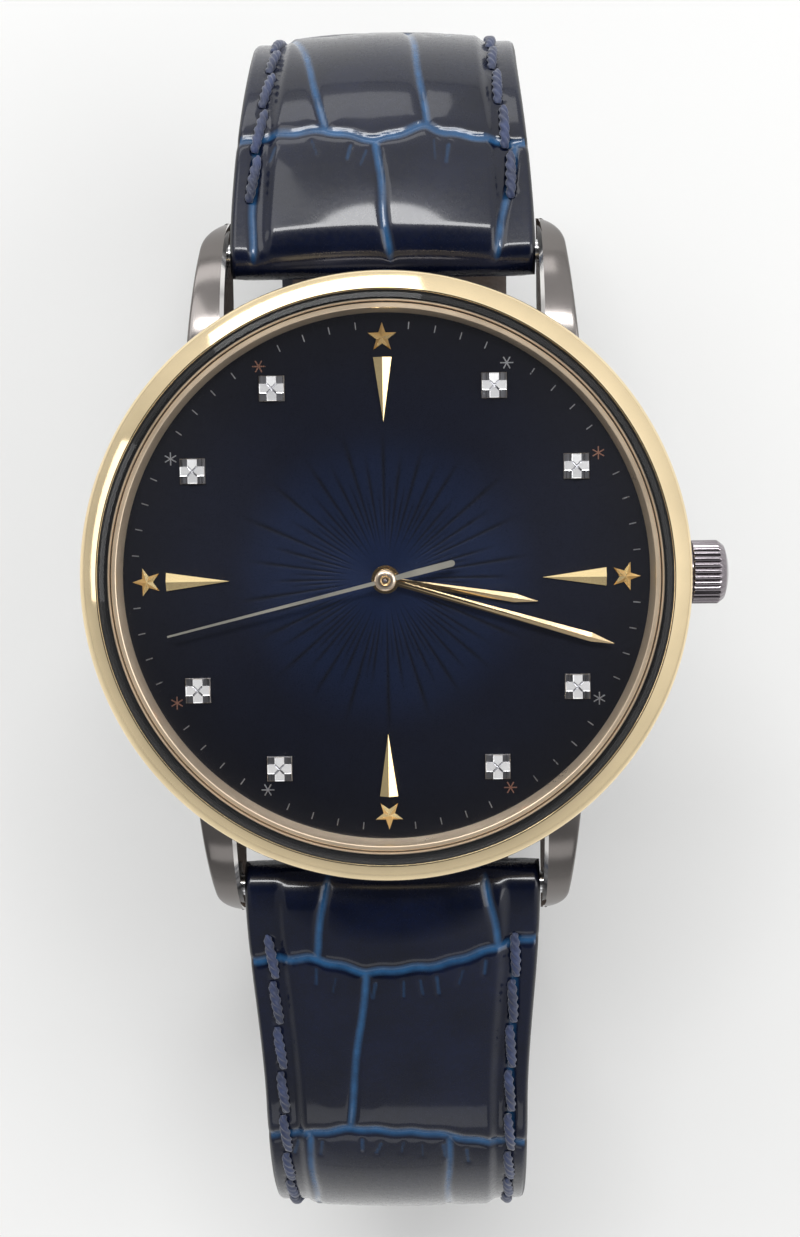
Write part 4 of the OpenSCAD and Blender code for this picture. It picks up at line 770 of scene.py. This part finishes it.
def walk(half, s):
    """Place (outwards, up) and direction in radians of a strap half's middle line at the distance s."""
    pieces, angle = PATHS[half]
    a = math.radians(angle)
    p = np.array([BAR_Y, BAR_Z])
    if s < 0:
        return p[0] + s * math.cos(a), p[1] + s * math.sin(a), a
    for length, k in pieces:
        d = min(s, length)
        if k == 0:
            p = p + d * np.array([math.cos(a), math.sin(a)])
        else:
            b = a + math.radians(k * d)
            p = p + RAD / k * np.array([math.sin(b) - math.sin(a), math.cos(a) - math.cos(b)])
            a = b
        s -= d
        if s <= 1e-9:
            break
    return p[0], p[1], a


def half_width(half, s):
    w = (STRAP_W + (STRAP_END_W - STRAP_W) * smooth(s / TAPER_L)) / 2
    if half == 12:
        return w
    t = np.clip((s - STRAP_L[6] + TIP_L) / TIP_L, 0, 1)
    return 1.5 + (w - 1.5) * np.sqrt(np.maximum(0, 1 - t * t))


def roll_thickness(r, s):
    return 2 * np.sqrt(np.maximum(0, r**2 - s**2))


def margin_thickness(half, s):
    """Thickness along the strap's edge: round about the bars, thinner after the first 10 mm."""
    a = 3.2 + (2.2 - 3.2) * smooth(s / 10)
    if half == 12:
        a = a + (2 * BUCKLE_ROLL_R - a) * smooth((s - STRAP_L[12] + 4) / 4)
    a = np.where(s < 0, roll_thickness(ROLL_R, s), a)
    if half == 12:
        past = np.clip(s - STRAP_L[12], 0, BUCKLE_ROLL_R)
        a = np.where(s > STRAP_L[12], roll_thickness(BUCKLE_ROLL_R, past), a)
    return a


# Creases across the strap that the photograph shows, as (x, distance along the half)
MAIN_ROWS = {
    (12, 1): [(-10.2, 7.1), (-7.8, 7.5), (-3.8, 7.6), (-2.2, 7.2), (-0.3, 6.75), (1.2, 7.2), (2.9, 7.8)]
    + [(4.0, 7.3), (6.5, 7.0), (10.2, 6.7)],
    (6, 1): [(-10.2, 5.0), (-5.5, 4.5), (-1.8, 5.5), (3.2, 5.0), (7.2, 3.8), (10.2, 3.3)],
    (6, 2): [(-10.2, 18.7), (-6.8, 18.0), (-3.2, 17.2), (2.5, 17.6), (7.0, 18.9), (10.2, 19.4)],
}
# Distances of all creases across, and the x of the upright creases between each pair
ROWS = {
    12: [-20.0, 7.2, 19.6, 31.8, 44.2, 56.3, 68.2, 90.0],
    6: [-20.0, 4.7, 17.8, 30.4, 43.0, 55.2, 67.8, 80.1, 92.4, 104.6, 130.0],
}
UPRIGHTS = {
    12: [[-8.2, -0.4, 8.7], [-3.6, 3.0], [-7.9, -0.9, 6.8], [-4.6, 3.4], [-7.6, 0.6, 7.4]]
    + [[-3.9, 3.2], [-7.8, 0.0]],
    6: [[-5.1, 7.0], [-1.8, 8.1], [-6.0, 3.6], [-1.0, 7.4], [-5.2, 2.6], [-8.0, 0.4]]
    + [[-4.4, 4.6], [-7.6, 0.0, 7.2], [-3.8, 3.4], [-0.2]],
}
SLANTS = {
    (12, 0): [0.1, -1.0, 1.5],
    (12, 1): [-2.9, -1.4],
    (6, 0): [-0.9, 0.9],
    (6, 1): [-1.4, -0.3],
}


def crease_lines(half):
    """Lines between the scales and short folds beside them, as pairs of (x, s) points and a depth."""
    r = np.random.default_rng(40 + half)
    rows, uprights = ROWS[half], UPRIGHTS[half]
    xs = np.linspace(-10.2, 10.2, 137)
    kernel = np.exp(-(np.linspace(-2, 2, 9) ** 2))
    kernel /= kernel.sum()
    lines, bends = [], []
    for k, row in enumerate(rows):
        if (half, k) in MAIN_ROWS:
            known = np.array(MAIN_ROWS[half, k])
            s = np.interp(xs, known[:, 0], known[:, 1])
            s = np.convolve(np.pad(s, 4, mode="edge"), kernel, mode="valid")
            s += 0.06 * np.sin(xs * 2.7 + k)
        else:
            s = np.full_like(xs, row)
            for side, beside in ((1, uprights[min(k, len(uprights) - 1)]), (-1, uprights[k - 1])):
                for x0 in beside:
                    s += side * 0.42 * np.exp(-(((xs - x0) / 1.5) ** 2))
            s += 0.35 * np.sin(xs * r.uniform(0.25, 0.42) + r.uniform(0, 6))
            s += 0.06 * np.sin(xs * 2.3 + r.uniform(0, 6))
            s += -0.008 * xs * xs * r.uniform(-0.6, 1.0)
        if 0 < k < len(rows) - 1:
            lines.append((np.stack([xs, s], 1), 1.0))
        bends.append(s)
    for k in range(len(rows) - 1):
        for n, x0 in enumerate(uprights[k]):
            slant = SLANTS[half, k][n] if (half, k) in SLANTS else r.uniform(-1.1, 1.1)
            x1 = x0 + slant
            if k == 0:
                x0, x1 = x0 - slant, x0
            a = float(np.interp(x0, xs, bends[k])) if k else -ROLL_R
            b = float(np.interp(x1, xs, bends[k + 1]))
            t = np.linspace(0, 1, 60)
            wave = 0.11 * np.sin(t * r.uniform(5, 8) + r.uniform(0, 6)) * np.sin(t * math.pi)
            lines.append((np.stack([x0 + (x1 - x0) * t + wave, a + (b - a) * t], 1), 0.92))
    side = -1 if half == 12 else 1
    for base in bends[1:-1]:
        x = -6.9
        while x < 7.2:
            if r.uniform() < 0.75:
                s0 = float(np.interp(x, xs, base)) + side * r.uniform(0.75, 1.1)
                reach = r.uniform(0.7, 1.3)
                tilt = r.uniform(-0.4, 0.4)
                lines.append((np.array([[x, s0], [x + tilt, s0 + side * reach]]), r.uniform(0.3, 0.5)))
            x += r.uniform(0.9, 2.0)
    return lines


def crease_field(half, x, s):
    """Depth of the creases and the distance to the nearest full crease, on grids of x and s."""
    lines = crease_lines(half)
    segs = np.array([(*a, *b, weight) for pts, weight in lines for a, b in zip(pts[:-1], pts[1:])])
    low, high = np.minimum(segs[:, 1], segs[:, 3]), np.maximum(segs[:, 1], segs[:, 3])
    groove = np.zeros_like(x)
    near = np.full_like(x, 9.0)
    step = 24
    for i in range(0, x.shape[0], step):
        part = slice(i, i + step)
        xs, ss = x[part], s[part]
        for x0, s0, x1, s1, weight in segs[(low < ss.max() + 4) & (high > ss.min() - 4)]:
            dx, ds = x1 - x0, s1 - s0
            t = np.clip(((xs - x0) * dx + (ss - s0) * ds) / (dx * dx + ds * ds + 1e-12), 0, 1)
            d = np.hypot(xs - x0 - t * dx, ss - s0 - t * ds)
            wide = 0.3 if weight > 0.95 else 0.25 if weight > 0.6 else 0.17
            groove[part] = np.maximum(groove[part], weight * np.exp(-((d / wide) ** 2)))
            if weight > 0.6:
                near[part] = np.minimum(near[part], d)
    return groove, near


def stitch_inset(half, s):
    """Distance of the stitches from the strap's edge."""
    if half == 12:
        return 1.3 + 0.35 * smooth((s - 2) / 14)
    return 1.5 - 0.25 * smooth((s - 4) / 12)


def stitch_places(half):
    """Middle of each stitch of one row, as distances along the half."""
    return np.arange(4.6, 59.5 if half == 12 else 103.0, PITCH)


def top_height(half, x, s):
    """Height of the outer leather over the middle line, without its creases."""
    w = half_width(half, s)
    u = np.abs(x) / w
    margin = np.minimum(2.0, w * 0.35)
    slope = np.minimum(0.8, w * 0.15)
    f = 1 - (margin + slope) / w
    m = 1 - margin / w
    up = smooth((m - u) / (m - f))
    bulge = np.maximum(0, 1 - (u / f) ** 2)
    field = 0.4 * smooth((s + 1.2) / 2.4)
    if half == 12:
        field = field * (1 - smooth((s - 70) / 3))
    pad = 0.4 * smooth((s + 1) / 5.5) * (1 - smooth((s - 12) / 28))
    return margin_thickness(half, s) / 2 + field * up + pad * bulge


def leather_height(half, x, s):
    """Outer leather with creases, swelling scales and the sunk line of the stitches."""
    groove, near = crease_field(half, x, s)
    live = smooth((s + ROLL_R) / ROLL_R)
    if half == 12:
        live = live * (1 - smooth((s - 74) / 2))
    swell = 0.11 * (1 - np.exp(-near / 0.9)) - 0.09
    row = np.abs(x) - (half_width(half, s) - stitch_inset(half, s))
    first, *_, last = stitch_places(half)
    inside = smooth((s - first + 1.6) / 0.5) * (1 - smooth((s - last - 1.4) / 0.5))
    phase = np.abs((s - first + PITCH / 2) % PITCH - PITCH / 2)
    pull = np.exp(-(((phase - STITCH / 2) / 0.32) ** 2))
    sunk = inside * (0.05 * np.exp(-((row / 0.34) ** 2)) + 0.13 * pull * np.exp(-((row / 0.3) ** 2)))
    height = top_height(half, x, s) + (swell - 0.15 * groove) * live - sunk
    return height, groove * live


def strap_place(half, x, s, v):
    """Points for arrays of x, s and height v over the middle line."""
    flat = np.unique(np.round(s.ravel(), 6))
    y, z, a = (np.interp(s, flat, column) for column in np.array([walk(half, t) for t in flat]).T)
    y = y - v * np.sin(a)
    return np.stack([x, y if half == 12 else -y, z + v * np.cos(a)], -1)


def leather_material():
    """Glossy navy leather. The creases show a lighter blue where the finish is thin."""
    finish = dict(Coat_Weight=0.62, Coat_Roughness=0.08, Specular_IOR_Level=0.15)
    mat, tree, shader = new_material("strap_leather", srgb(12, 17, 36), 0.32, **finish)
    vector = coords(tree)
    broad = noise(tree, vector, 210.0, 4.0)
    fine = noise(tree, vector, 2600.0, 4.0)
    body = mix_color(tree, remap(tree, broad, 0.0, 1.0), srgb(6, 11, 28), srgb(11, 19, 43))
    body = mix_color(tree, remap(tree, fine, 0.0, 0.4), body, srgb(5, 9, 21))
    worn = remap(tree, noise(tree, vector, 900.0), 0.55, 1.0)
    shown = math_node(tree, "MULTIPLY", remap(tree, point_mark(tree, "crease"), 0.0, 1.0, 0.18, 0.85), worn)
    gloss = remap(tree, blend(tree, fine, 0.5, broad, 0.5), 0.18, 0.36)
    set_inputs(shader, Base_Color=mix_color(tree, shown, body, srgb(40, 84, 126)), Roughness=gloss)
    lines = noise(tree, coords(tree, (1.0, 0.25, 0.25)), 1500.0, 5.0)
    bump(tree, shader, blend(tree, cells(tree, vector, 2300.0), 0.45, lines, 0.8), 0.000014, 0.5)
    return mat


def lining_material():
    """Dull brown leather with pores."""
    mat, tree, shader = new_material("strap_lining", srgb(52, 40, 32), 0.62)
    vector = coords(tree)
    broad = remap(tree, noise(tree, vector, 260.0, 4.0), 0.0, 1.0)
    fine = noise(tree, vector, 3600.0, 4.0)
    color = mix_color(tree, broad, srgb(42, 32, 26), srgb(62, 48, 38))
    set_inputs(shader, Base_Color=color, Roughness=remap(tree, fine, 0.55, 0.72))
    bump(tree, shader, blend(tree, cells(tree, vector, 2800.0), 0.7, fine, 1.0), 0.00004, 0.7)
    return mat


def keeper_material():
    """Navy leather with small scales."""
    finish = dict(Coat_Weight=0.6, Coat_Roughness=0.12)
    mat, tree, shader = new_material("keeper_leather", srgb(12, 16, 32), 0.3, **finish)
    vector = coords(tree)
    edge = remap(tree, cells(tree, vector, 420.0, "DISTANCE_TO_EDGE"), 1.0, 0.0, 0.0, 0.07)
    broad = remap(tree, noise(tree, vector, 300.0, 4.0), 0.0, 1.0)
    body = mix_color(tree, broad, srgb(9, 13, 27), srgb(16, 22, 43))
    color = mix_color(tree, math_node(tree, "MULTIPLY", edge, 0.6), body, srgb(34, 70, 114))
    fine = noise(tree, vector, 2600.0, 4.0)
    set_inputs(shader, Base_Color=color, Roughness=remap(tree, fine, 0.2, 0.36))
    bump(tree, shader, blend(tree, fine, 0.3, edge, -1.0), 0.00008, 0.8)
    return mat


leather = leather_material()
lining = lining_material()
keeper_leather = keeper_material()
edge_paint = plain_soft("edge_paint", srgb(9, 12, 23), 0.34, 1500.0, 0.00001, 0.2)
thread = plain_soft("thread_navy", srgb(38, 53, 92), 0.5, 9000.0, 0.000012, 0.6, Sheen_Weight=0.4)


def strap_rows(half):
    """Distances of the rows of points: denser where the strap shows from above and round its ends."""
    length = STRAP_L[half]
    head = -ROLL_R * np.sin(np.radians(np.linspace(90, 3, 16)))
    fine = np.arange(0.0, 42.0 if half == 12 else 46.0, 0.16)
    rest = np.arange(fine[-1] + 0.22, length - (0.0 if half == 12 else TIP_L), 0.22)
    if half == 12:
        end = length + BUCKLE_ROLL_R * np.sin(np.radians(np.linspace(0, 90, 14)))
    else:
        end = length - TIP_L + TIP_L * np.sin(np.radians(np.linspace(0, 90, 40)))
    return np.unique(np.round(np.concatenate([head, fine, rest, end]), 6))


def edge_drop(x, w, r):
    """Height that the round edge takes off at x, on a strap of half width w."""
    gap = np.clip(r - (w - np.abs(x)), 0, r)
    return r - np.sqrt(np.maximum(r**2 - gap**2, 0))


def cut_holes(half, points, faces, x, s, v):
    """Moves the points round each hole onto its rim, and says which faces stay."""
    keep = np.ones(len(faces), bool)
    for hole in HOLES:
        inside = np.hypot(x[faces].mean(1), s[faces].mean(1) - hole) < HOLE_R
        keep &= ~inside
        rim = np.intersect1d(faces[inside], faces[keep])
        k = HOLE_R / np.hypot(x[rim], s[rim] - hole)
        x[rim] *= k
        s[rim] = hole + (s[rim] - hole) * k
        points[rim] = strap_place(half, x[rim], s[rim], v[rim])
    return keep


def make_hole(half, name, hole):
    """Painted wall of a hole, from under the lining to just under the outer leather."""
    angles = np.linspace(0, 2 * math.pi, 48, endpoint=False)
    x = HOLE_R * 1.004 * np.cos(angles)
    s = hole + HOLE_R * 1.004 * np.sin(angles)
    levels = [np.full_like(x, v) for v in (-1.1, -0.4, 0.3)] + [leather_height(half, x, s)[0] - 0.01]
    points = np.concatenate([strap_place(half, x, s, v) for v in levels])
    faces = grid_faces(4, 48, close_cols=True)
    build(name, points, faces, [edge_paint], "strap_%d" % half, "leather_navy")


def make_strap(half):
    """Leather of a strap half, as a closed tube of cross-sections from bar to end."""
    s_rows = strap_rows(half)[:, None]
    # Outer side, from left to right
    cols = 129
    across = np.linspace(-1, 1, cols)
    across = np.sign(across) * (1 - (1 - np.abs(across)) ** 1.12)
    s = np.repeat(s_rows, cols, 1)
    w = half_width(half, s)
    thick = margin_thickness(half, s)
    x = across * w
    height, groove = leather_height(half, x, s)
    height = height - edge_drop(x, w, np.minimum(0.42, thick * 0.45))
    height = np.maximum(height, -thick / 2 + 0.02)
    # Underside, from right to left
    low_cols = 25
    low_across = np.linspace(1, -1, low_cols)
    s_low = np.repeat(s_rows, low_cols, 1)
    w = half_width(half, s_low)
    thick = margin_thickness(half, s_low)
    x_low = low_across * w
    x_low = np.sign(x_low) * np.where(np.abs(low_across) > 0.99, w, np.abs(x_low) * 0.985)
    v_low = -thick / 2 + edge_drop(x_low, w, np.minimum(0.36, thick * 0.4))
    # Two points up each side between them
    s_side = np.repeat(s_rows, 2, 1)
    w = half_width(half, s_side)
    up = np.array([0.33, 0.66])
    right = height[:, -1:] + (v_low[:, :1] - height[:, -1:]) * up
    left = v_low[:, -1:] + (height[:, :1] - v_low[:, -1:]) * up
    x = np.concatenate([x, w, x_low, -w], 1)
    v = np.concatenate([height, right, v_low, left], 1)
    rows, size = x.shape
    s = np.repeat(s_rows, size, 1)
    points = strap_place(half, x, s, v).reshape(-1, 3)
    faces = grid_faces(rows, size, close_cols=True)
    col = np.arange(len(faces)) % size
    s_face = s_rows[np.arange(len(faces)) // size, 0]
    under = cols + 2
    at_bar = (s_face < 2.4) | ((s_face > 72.6) & (half == 12))
    which = np.zeros(len(faces), np.int32)
    which[(col >= under) & (col < under + low_cols - 2) & ~at_bar] = 2
    which[(col < 2) | (col >= under + low_cols - 2)] = 1
    which[(col >= cols - 3) & (col < under)] = 1
    keep = np.ones(len(faces), bool)
    if half == 6:
        keep = cut_holes(half, points, faces, x.ravel(), s.ravel(), v.ravel())
    marks = np.zeros((rows, size))
    marks[:, :cols] = groove
    name = "strap_%d" % half
    closed = faces[keep].tolist() + end_caps(rows, size)
    finish = [leather, edge_paint, lining]
    mesh = make_mesh(name + "_leather", points, closed, finish, np.append(which[keep], [1, 1]))
    mark_points(mesh, "crease", marks.ravel())
    finish_mesh(mesh, 60.0)
    layers = (name + "_upper", name + "_filler", name + "_lining")
    piece = add_object(name + "_leather", mesh, name, layers)


def make_stitches(half):
    """Twisted thread in two rows. Each stitch rises out of one hole and dips into the next."""
    steps, around = 29, 18
    span = STITCH + 0.3
    t = np.linspace(0, 1, steps)
    phi = np.linspace(0, 2 * math.pi, around, endpoint=False)
    lobes = 1 + 0.2 * np.cos(3 * (phi - (t * span * 2 * math.pi / 1.9)[:, None]))
    taper = 0.6 + 0.4 * np.clip(np.sin(t * math.pi), 0, 1) ** 0.35
    r = (0.3 * lobes * taper[:, None])[..., None]
    rise = 0.2 * np.sin(t * math.pi) ** 0.5 - 0.14
    parts = []
    for sign in (-1, 1):
        for centre in stitch_places(half):
            s = centre + (t - 0.5) * span
            x = sign * (half_width(half, s) - stitch_inset(half, s)) + 0.3 * (t - 0.5)
            line = strap_place(half, x, s, top_height(half, x, s) + rise)
            d = np.gradient(line, axis=0)
            d /= np.linalg.norm(d, axis=1)[:, None]
            up = np.cross(np.array([1.0, 0.0, 0.0]), d)
            up /= np.linalg.norm(up, axis=1)[:, None]
            side = np.cross(d, up)[:, None]
            ring = np.cos(phi)[:, None] * side + np.sin(phi)[:, None] * up[:, None]
            parts.append(((line[:, None] + r * ring).reshape(-1, 3), tube_faces(steps, around)))
    name = "strap_%d" % half
    build(name + "_thread", *join_parts(parts), [thread], name, "thread_navy", (name + "_stitches",), 60.0)


make_strap(12)
make_strap(6)
for n, hole in enumerate(HOLES):
    make_hole(6, "strap_hole_%d" % (n + 1), hole)
make_stitches(12)
make_stitches(6)


# Keepers
def round_rect(half_w, low, high, r, n=10):
    """Closed path of (x, z) points round a rectangle with round corners."""
    x, top, bottom = half_w - r, high - r, low + r
    corners = ((x, top), (-x, top), (-x, bottom), (x, bottom))
    out = []
    for k, (cx, cz) in enumerate(corners):
        out += arc(cx, cz, r, 90 * k, 90 * k + 90, n)
    return np.array(out)


def make_keeper(name, y0, y1, body, node):
    """Leather loop: a band with round edges, swept round the strap."""
    inner = round_rect(9.15, LOOP_Z - 4.5, LOOP_Z + 1.16, 1.1)
    path = []
    for a, b in zip(inner, np.roll(inner, -1, axis=0)):
        n = max(1, int(np.linalg.norm(b - a) / 0.7))
        path += [a + (b - a) * k / n for k in range(n)]
    path = np.array(path)
    ahead = np.roll(path, -1, axis=0) - np.roll(path, 1, axis=0)
    out = np.stack([ahead[:, 1], -ahead[:, 0]], 1)
    out /= np.linalg.norm(out, axis=1)[:, None]
    section = fillet([(y0, 0.0), (y1, 0.0), (y1, 0.9), (y0, 0.9)], 0.34, 6)
    y, h = section.T
    mid = (y - (y0 + y1) / 2) / ((y1 - y0) / 2)
    h = np.where(h > 0.45, h - 0.06 * mid * mid, h)
    points = [(p[0] + o[0] * k, side, p[1] + o[1] * k) for p, o in zip(path, out) for side, k in zip(y, h)]
    faces = grid_faces(len(path), len(section), close_rows=True, close_cols=True)
    build(name, points, faces, [keeper_leather], body, "leather_navy", (node,), 50.0)


make_keeper("keeper_fixed", 0.08, 5.08, "strap_12", "fixed_keeper")
make_keeper("keeper_free", 8.08, 13.08, "free_keeper", "free_keeper")

# Finishes of the pieces that keep their CAD form
finishes = [
    (marker_gold, "star_markers wedge_markers"),
    (hand_gold, "hour_hand minute_hand"),
    (second_gold, "second_hand"),
    (steel, "crown_tube winding_stem winding_pinion sliding_pinion escape_wheel pallet_fork cannon_pinion"),
    (steel, "rotor_bearing spring_bar_12 spring_bar_6 buckle_spring_bar"),
    (rubber, "crown_gasket case_back_gasket"),
    (wheel_steel, "crown_wheel ratchet_wheel"),
    (back_steel, "case_back_ring"),
    (back_glass, "case_back_glass"),
    (holder, "movement_holder"),
    (base_nickel, "main_plate"),
    (plate_nickel, "train_bridge balance_bridge pallet_bridge automatic_bridge"),
    (rotor_nickel, "rotor"),
    (blued, "bridge_screws balance_spring"),
    (ruby, "jewels"),
    (train_brass, "barrel center_wheel third_wheel fourth_wheel balance_wheel minute_wheel hour_wheel"),
    (buckle_steel, "buckle_frame buckle_tongue"),
]
for finish, names in finishes:
    for name in names.split():
        slots = nodes[name].data.materials
        for i in range(len(slots)):
            slots[i] = finish
        if not len(slots):
            slots.append(finish)

# Floor, a little under the leather
reach = 3.0
z = (FLOOR_Z - 0.03) * MM
corners = [(-reach, -reach, z), (reach, -reach, z), (reach, reach, z), (-reach, reach, z)]
floor_mesh = bpy.data.meshes.new("floor")
floor_mesh.from_pydata(corners, [], [[0, 1, 2, 3]])
floor_mesh.materials.append(new_material("floor", (0.80, 0.80, 0.79), 0.7)[0])
floor = bpy.data.objects.new("floor", floor_mesh)
scene.collection.objects.link(floor)


# Light
def lamp(name, place, size, power):
    """Soft lamp that faces the origin."""
    data = bpy.data.lights.new(name, "AREA")
    data.shape = "RECTANGLE"
    data.size, data.size_y = size
    data.energy = power
    obj = bpy.data.objects.new(name, data)
    scene.collection.objects.link(obj)
    obj.location = place
    obj.rotation_euler = (-Vector(place)).to_track_quat("-Z", "Y").to_euler()


lamp("key", (0.0, 0.49, 0.87), (0.66, 0.13), 4.4)
lamp("soft", (-0.45, 0.6, 0.75), (0.5, 0.5), 1.4)
lamp("fill", (0.75, 0.1, 0.7), (0.6, 0.6), 2.2)
lamp("back", (-0.3, 1.02, 0.26), (0.9, 0.3), 1.7)
lamp("front", (0.0, -0.95, 0.55), (0.7, 0.3), 0.6)
lamp("left", (-1.0, 0.15, 0.3), (0.6, 0.35), 0.9)

# World: pale to the sides, dark overhead, brighter on one side above the horizon
world = bpy.data.worlds.new("world")
scene.world = world
world.use_nodes = True
tree = world.node_tree
direction = add_node(tree, "TexCoord").outputs["Generated"]
height = add_node(tree, "SeparateXYZ", Vector=direction).outputs["Z"]
stops = [(place, (v, v, v * 1.01)) for place, v in ((0.5, 0.74), (0.86, 0.8), (0.93, 0.1))]
stops = [(0.0, (0.76, 0.76, 0.76))] + stops + [(1.0, (0.05, 0.05, 0.055))]
sides = remap(tree, vector_node(tree, "DOT_PRODUCT", direction, (0.5, 0.75, 0.0)), -1.0, 1.0, -0.4, 0.4)
contrast = remap(tree, height, 0.16, 0.48, 0.0, 0.35)
strength = math_node(tree, "ADD", math_node(tree, "MULTIPLY", sides, contrast), 0.95)
set_inputs(tree.nodes["Background"], Color=color_ramp(tree, height, stops), Strength=strength)

scene.view_settings.view_transform = "Standard"
